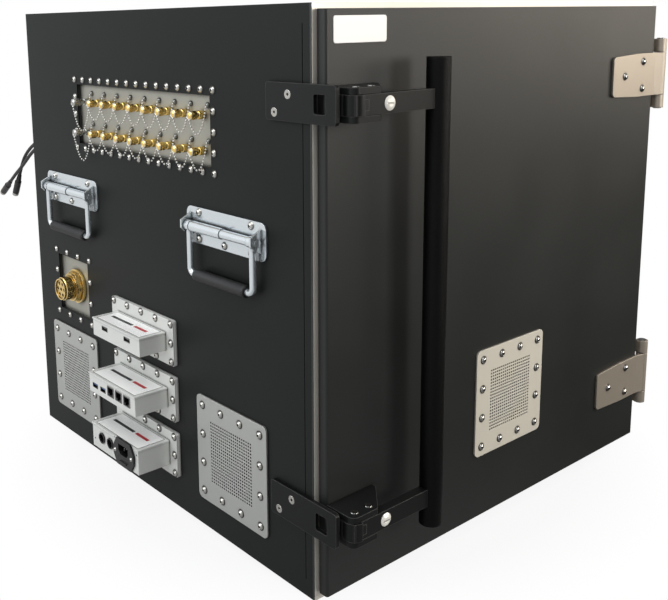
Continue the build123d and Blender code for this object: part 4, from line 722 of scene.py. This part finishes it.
# ---- screws ----------------------------------------------------------------
# Stainless socket screws, bright and barely marked; the dome screws and the
# latch pins are coloured darker, a painted reflection of dark surroundings.
bright = finish("bright_screw", "c9c7c1", "b9b7b1", "f6f4ee", (0.14, 0.24), scale=1500.0,
                depth=8e-6, metal=1.0, radius=0.0004, crevice=0.006)
dress(bright, "panel_screws", "door_screws", "hardware_screws", "hinge_pins")
white_zinc = finish("white_zinc", "eceae3", "e2e0d9", "f8f6f0", (0.25, 0.35), metal=0.3, depth=4e-6,
                    radius=0.0004, crevice=0.004)
dress(white_zinc, "arm_screws")
# Black for the painted shade in the screw sockets and the painted shadow round the heads.
socket_shade_black = finish("painted_socket_shade", "0b0b0c", "101011", "1c1c1d", (0.3, 0.45), depth=4e-6, radius=0.0001)


def screw_spots(node, first_reach=9.5, reach=14.0):
    """Lowest and highest corner of each screw of a node, gathered by distance one screw at a time."""
    mesh = nodes_of_cad[node].data
    points = np.empty(len(mesh.vertices) * 3)
    mesh.vertices.foreach_get("co", points)
    points = points.reshape(-1, 3) * 1000
    boxes = []
    while len(points):
        near = np.linalg.norm(points - points[0], axis=1) < first_reach
        middle = (points[near].min(0) + points[near].max(0)) / 2
        near = np.linalg.norm(points - middle, axis=1) < reach
        boxes.append((points[near].min(0), points[near].max(0)))
        points = points[~near]
    return np.array(boxes)


# Black hexagon discs in the heads' sockets and thin black rings under the heads: painted shade in the
# sockets and a painted contact shadow round each head.
# The inlet's two small screws, under the least head, go without.
head_width = 8.8
head_height = 2.84
least_head = 8.0
forward = facing((0, -1, 0))
socket_shade_disc = turned([(1.78, 2.5, 0), (1.95, 2.5, 0)], 6)
head_shadow_ring = turned([(0.0, 5.3, 0), (0.45, 5.3, 0), (0.55, 5.1, 0)], 16)
for node, body, axis, way in (
    ("panel_screws", "cabinet", 0, outward), ("door_screws", "door", 1, forward),
):
    boxes = screw_spots(node)
    heads = np.ptp(boxes, axis=1)[:, (axis + 1) % 3]
    boxes, heads = boxes[heads > least_head], heads[heads > least_head]
    seats = boxes.mean(axis=1)
    seats[:, axis] = boxes[:, 0, axis] + head_height * heads / head_width
    add_piece(node + "_sockets", joined(copies(socket_shade_disc, seats, way), copies(head_shadow_ring, seats, way)), socket_shade_black,
              body, smooth=False)

# Chrome dome screws and latch pins: the colour is darkened to stand in for the dark surroundings the domes
# reflect, a painted reflection.
reflection_darkened_steel = finish("screw_painted_dark_reflection", "7d7d7a", "6d6d6a", "b9b9b6", (0.12, 0.2), metal=1.0, depth=4e-6,
                    radius=0.0004)
dress(reflection_darkened_steel, "dust_cap_screws", "latch_pins")

# ---- carrying handles ------------------------------------------------------
# Blue-white zinc-plated steel plates and bails; a black rubber grip is drawn
# over the lower run of each bail.
zinc = finish("bright_zinc", "dfe5e8", "d8dfe3", "f3f8fa", (0.16, 0.2), scale=90.0, depth=1e-6,
              metal=0.8, radius=0.0005, crevice=0.005)
dress(zinc, "handle_plates", "left_front_bail", "left_rear_bail", "right_front_bail",
      "right_rear_bail")
rubber = finish("grip_rubber", "0c0c0d", "101011", "1c1c1d", (0.5, 0.66), scale=1600.0, depth=5e-5,
                crevice=0.006)
dress(rubber, "feet")
bail_radius = 7.0
grip_radius = 7.3
grip = turned([(-49.0, 5.4, 0), (-48.6, 6.6, 0), (-47.6, grip_radius, 0), (-44.0, grip_radius + 0.25, 0),
               (-42.0, grip_radius, 0), (42.0, grip_radius, 0), (44.0, grip_radius + 0.25, 0),
               (47.6, grip_radius, 0), (48.6, 6.6, 0), (49.0, 5.4, 0)])
for place in ("left_front", "left_rear", "right_front", "right_rear"):
    low, high = span(place + "_bail")
    middle = ((low[0] + high[0]) / 2, (low[1] + high[1]) / 2, low[2] + bail_radius)
    add_piece(place + "_grip", copies(grip, middle, facing((0, 1, 0))), rubber, place + "_carry_bail")

# ---- fans ------------------------------------------------------------------
# Moulded fan frames and rotors behind plated wire guards on the rear panel.
fan_black = finish("fan_plastic", "161718", "1e1f20", "303133", (0.4, 0.55), scale=1300.0)
dress(fan_black, "fan_housings", "upper_fan_rotor", "lower_fan_rotor")
wire = finish("guard_wire", "cfd0cf", "b5b6b5", "e9eae9", (0.18, 0.3), metal=1.0)
dress(wire, "fan_guards")

# ---- hinges ----------------------------------------------------------------
# Cast hinges in satin nickel, warmer than the screws that hold them.
nickel = finish("satin_nickel", "a89f92", "9d9488", "cfc6b9", (0.4, 0.52), scale=1100.0,
                depth=1.2e-5, metal=0.7, radius=0.0012, crevice=0.004)
dress(nickel, "hinge_door_leaves", "hinge_frame_leaves")

# ---- latches and pull bar --------------------------------------------------
# Powder-coated steel latches whose corners carry a bright painted highlight, and a
# pull bar in a coarser, sparkling powder.
black_steel = finish("black_latch", "0f1010", "141515", "5a5a58", (0.34, 0.44), scale=1000.0,
                     depth=3e-5, radius=0.0009, crevice=0.006, sockets=[("Specular IOR Level", 0.18)])
dress(black_steel, "latch_keepers", "latch_brackets", "latch_cams", "latch_arms")
textured = finish("textured_bar_coat", "060606", "0a0a0a", "131414", (0.3, 0.5), scale=900.0,
                  depth=5e-4, radius=0.001, sockets=[("Specular IOR Level", 0.1)])
dress(textured, "handle_bar")

# ---- label plate -----------------------------------------------------------
# Thin white enamelled plate, 76 by 27.3 mm, glued to the door's top corner
# and left blank.
white_enamel = finish("white_enamel", "ecebe8", "e4e3e0", "d5d4d1", (0.25, 0.35), depth=5e-6)
upright_on_door = np.array(((1, 0, 0), (0, 0, -1), (0, 1, 0)), float)
label_centre = (-271.0, -335.5, 633.35)
label = plate(76.0, 27.3, 3.0, 0.9, 0.4)
add_piece("label_plate", copies(label, label_centre, upright_on_door), white_enamel, "door")

# ---- studio ----------------------------------------------------------------
# White surroundings, a pale floor that keeps the contact shadow, a broad soft
# key over the connector side and a warm one on the door's side.
world = bpy.data.worlds.new("studio")
bpy.context.scene.world = world
world.use_nodes = True
sky = world.node_tree.nodes
sky.clear()
seen = sky.new("ShaderNodeLightPath")
heading = sky.new("ShaderNodeTexCoord")
lean = sky.new("ShaderNodeVectorMath")
lean.operation = "DOT_PRODUCT"
lean.inputs[1].default_value = (-0.85, 0.5, 0.15)
reflected = sky.new("ShaderNodeMapRange")
reflected.inputs["From Min"].default_value = -0.5
reflected.inputs["From Max"].default_value = 0.7
reflected.inputs["To Min"].default_value = 0.10
reflected.inputs["To Max"].default_value = 0.95
level_of = sky.new("ShaderNodeMix")
level_of.data_type = "FLOAT"
level_of.inputs["A"].default_value = 0.55
lit = sky.new("ShaderNodeBackground")
lit.inputs["Color"].default_value = (0.97, 0.98, 1.0, 1.0)
plain = sky.new("ShaderNodeBackground")
plain.inputs["Color"].default_value = (1.0, 1.0, 1.0, 1.0)
plain.inputs["Strength"].default_value = 1.0
choice = sky.new("ShaderNodeMixShader")
sent = sky.new("ShaderNodeOutputWorld")
for source, target in (
    (heading.outputs["Generated"], lean.inputs[0]),
    (lean.outputs["Value"], reflected.inputs["Value"]),
    (reflected.outputs[0], level_of.inputs["B"]),
    (seen.outputs["Is Glossy Ray"], level_of.inputs["Factor"]),
    (level_of.outputs["Result"], lit.inputs["Strength"]),
    (seen.outputs["Is Camera Ray"], choice.inputs["Fac"]),
    (lit.outputs[0], choice.inputs[1]),
    (plain.outputs[0], choice.inputs[2]),
    (choice.outputs[0], sent.inputs["Surface"]),
):
    world.node_tree.links.new(source, target)

floor_mesh = bpy.data.meshes.new("floor")
floor_mesh.from_pydata([(-30, -30, 0), (30, -30, 0), (30, 30, 0), (-30, 30, 0)], [], [(0, 1, 2, 3)])
floor = bpy.data.objects.new("floor", floor_mesh)
bpy.context.scene.collection.objects.link(floor)
pale = bpy.data.materials.new("pale_floor")
pale.use_nodes = True
parts = pale.node_tree.nodes
matt = parts["Principled BSDF"]
matt.inputs["Base Color"].default_value = (0.5, 0.5, 0.5, 1.0)
matt.inputs["Roughness"].default_value = 0.9
matt.inputs["Specular IOR Level"].default_value = 0.0
glow = parts.new("ShaderNodeEmission")
glow.inputs["Color"].default_value = (1.0, 1.0, 1.0, 1.0)
glow.inputs["Strength"].default_value = 1.0
path = parts.new("ShaderNodeLightPath")
spot_on_floor = parts.new("ShaderNodeTexCoord")
reach = parts.new("ShaderNodeVectorMath")
reach.operation = "LENGTH"
clear_of = parts.new("ShaderNodeMapRange")
clear_of.inputs["From Min"].default_value = 0.38
clear_of.inputs["From Max"].default_value = 0.5
clear_of.inputs["To Min"].default_value = 0.9
clear_of.inputs["To Max"].default_value = 1.0
seen_glow = parts.new("ShaderNodeMath")
seen_glow.operation = "MULTIPLY"
blend_floor = parts.new("ShaderNodeMixShader")
toward = parts.new("ShaderNodeVectorMath")
toward.operation = "DOT_PRODUCT"
toward.inputs[1].default_value = (-0.85, 0.5, 0.0)
mirrored = parts.new("ShaderNodeMapRange")
mirrored.inputs["From Min"].default_value = -0.4
mirrored.inputs["From Max"].default_value = 0.8
mirrored.inputs["To Min"].default_value = 0.05
mirrored.inputs["To Max"].default_value = 0.8
mirror_glow = parts.new("ShaderNodeEmission")
blend_mirror = parts.new("ShaderNodeMixShader")
for source, target in (
    (spot_on_floor.outputs["Object"], reach.inputs[0]),
    (spot_on_floor.outputs["Object"], toward.inputs[0]),
    (toward.outputs["Value"], mirrored.inputs["Value"]),
    (mirrored.outputs[0], mirror_glow.inputs["Strength"]),
    (reach.outputs["Value"], clear_of.inputs["Value"]),
    (clear_of.outputs[0], seen_glow.inputs[0]),
    (path.outputs["Is Camera Ray"], seen_glow.inputs[1]),
    (path.outputs["Is Glossy Ray"], blend_mirror.inputs["Fac"]),
    (matt.outputs[0], blend_mirror.inputs[1]),
    (mirror_glow.outputs[0], blend_mirror.inputs[2]),
    (seen_glow.outputs[0], blend_floor.inputs["Fac"]),
    (blend_mirror.outputs[0], blend_floor.inputs[1]),
    (glow.outputs[0], blend_floor.inputs[2]),
    (blend_floor.outputs[0], parts["Material Output"].inputs["Surface"]),
):
    pale.node_tree.links.new(source, target)
floor_mesh.materials.append(pale)


def softbox(name, spot, aim, width, height, power, colour):
    """Rectangular soft light at a spot, turned to its aim."""
    lamp = bpy.data.lights.new(name, "AREA")
    lamp.shape = "RECTANGLE"
    lamp.size, lamp.size_y = width, height
    lamp.energy = power
    lamp.color = colour
    holder = bpy.data.objects.new(name, lamp)
    bpy.context.scene.collection.objects.link(holder)
    holder.location = spot
    holder.rotation_euler = (Vector(aim) - Vector(spot)).to_track_quat("-Z", "Y").to_euler()


softbox("overhead", (-0.8, -0.6, 2.6), (0, 0, 0.3), 2.4, 2.4, 40.0, (1.0, 1.0, 1.0))
softbox("door_side", (2.6, -1.8, 1.1), (0, -0.3, 0.5), 1.3, 1.3, 31.0, (1.0, 0.9, 0.78))
softbox("door_fill", (1.0, -2.8, 0.9), (0.1, -0.3, 0.3), 1.0, 1.0, 42.0, (1.0, 0.96, 0.9))
softbox("connector_side", (-2.6, 0.9, 1.5), (-0.3, 0, 0.4), 1.8, 1.6, 35.0, (0.93, 0.97, 1.0))

bpy.context.scene.view_settings.view_transform = "Standard"
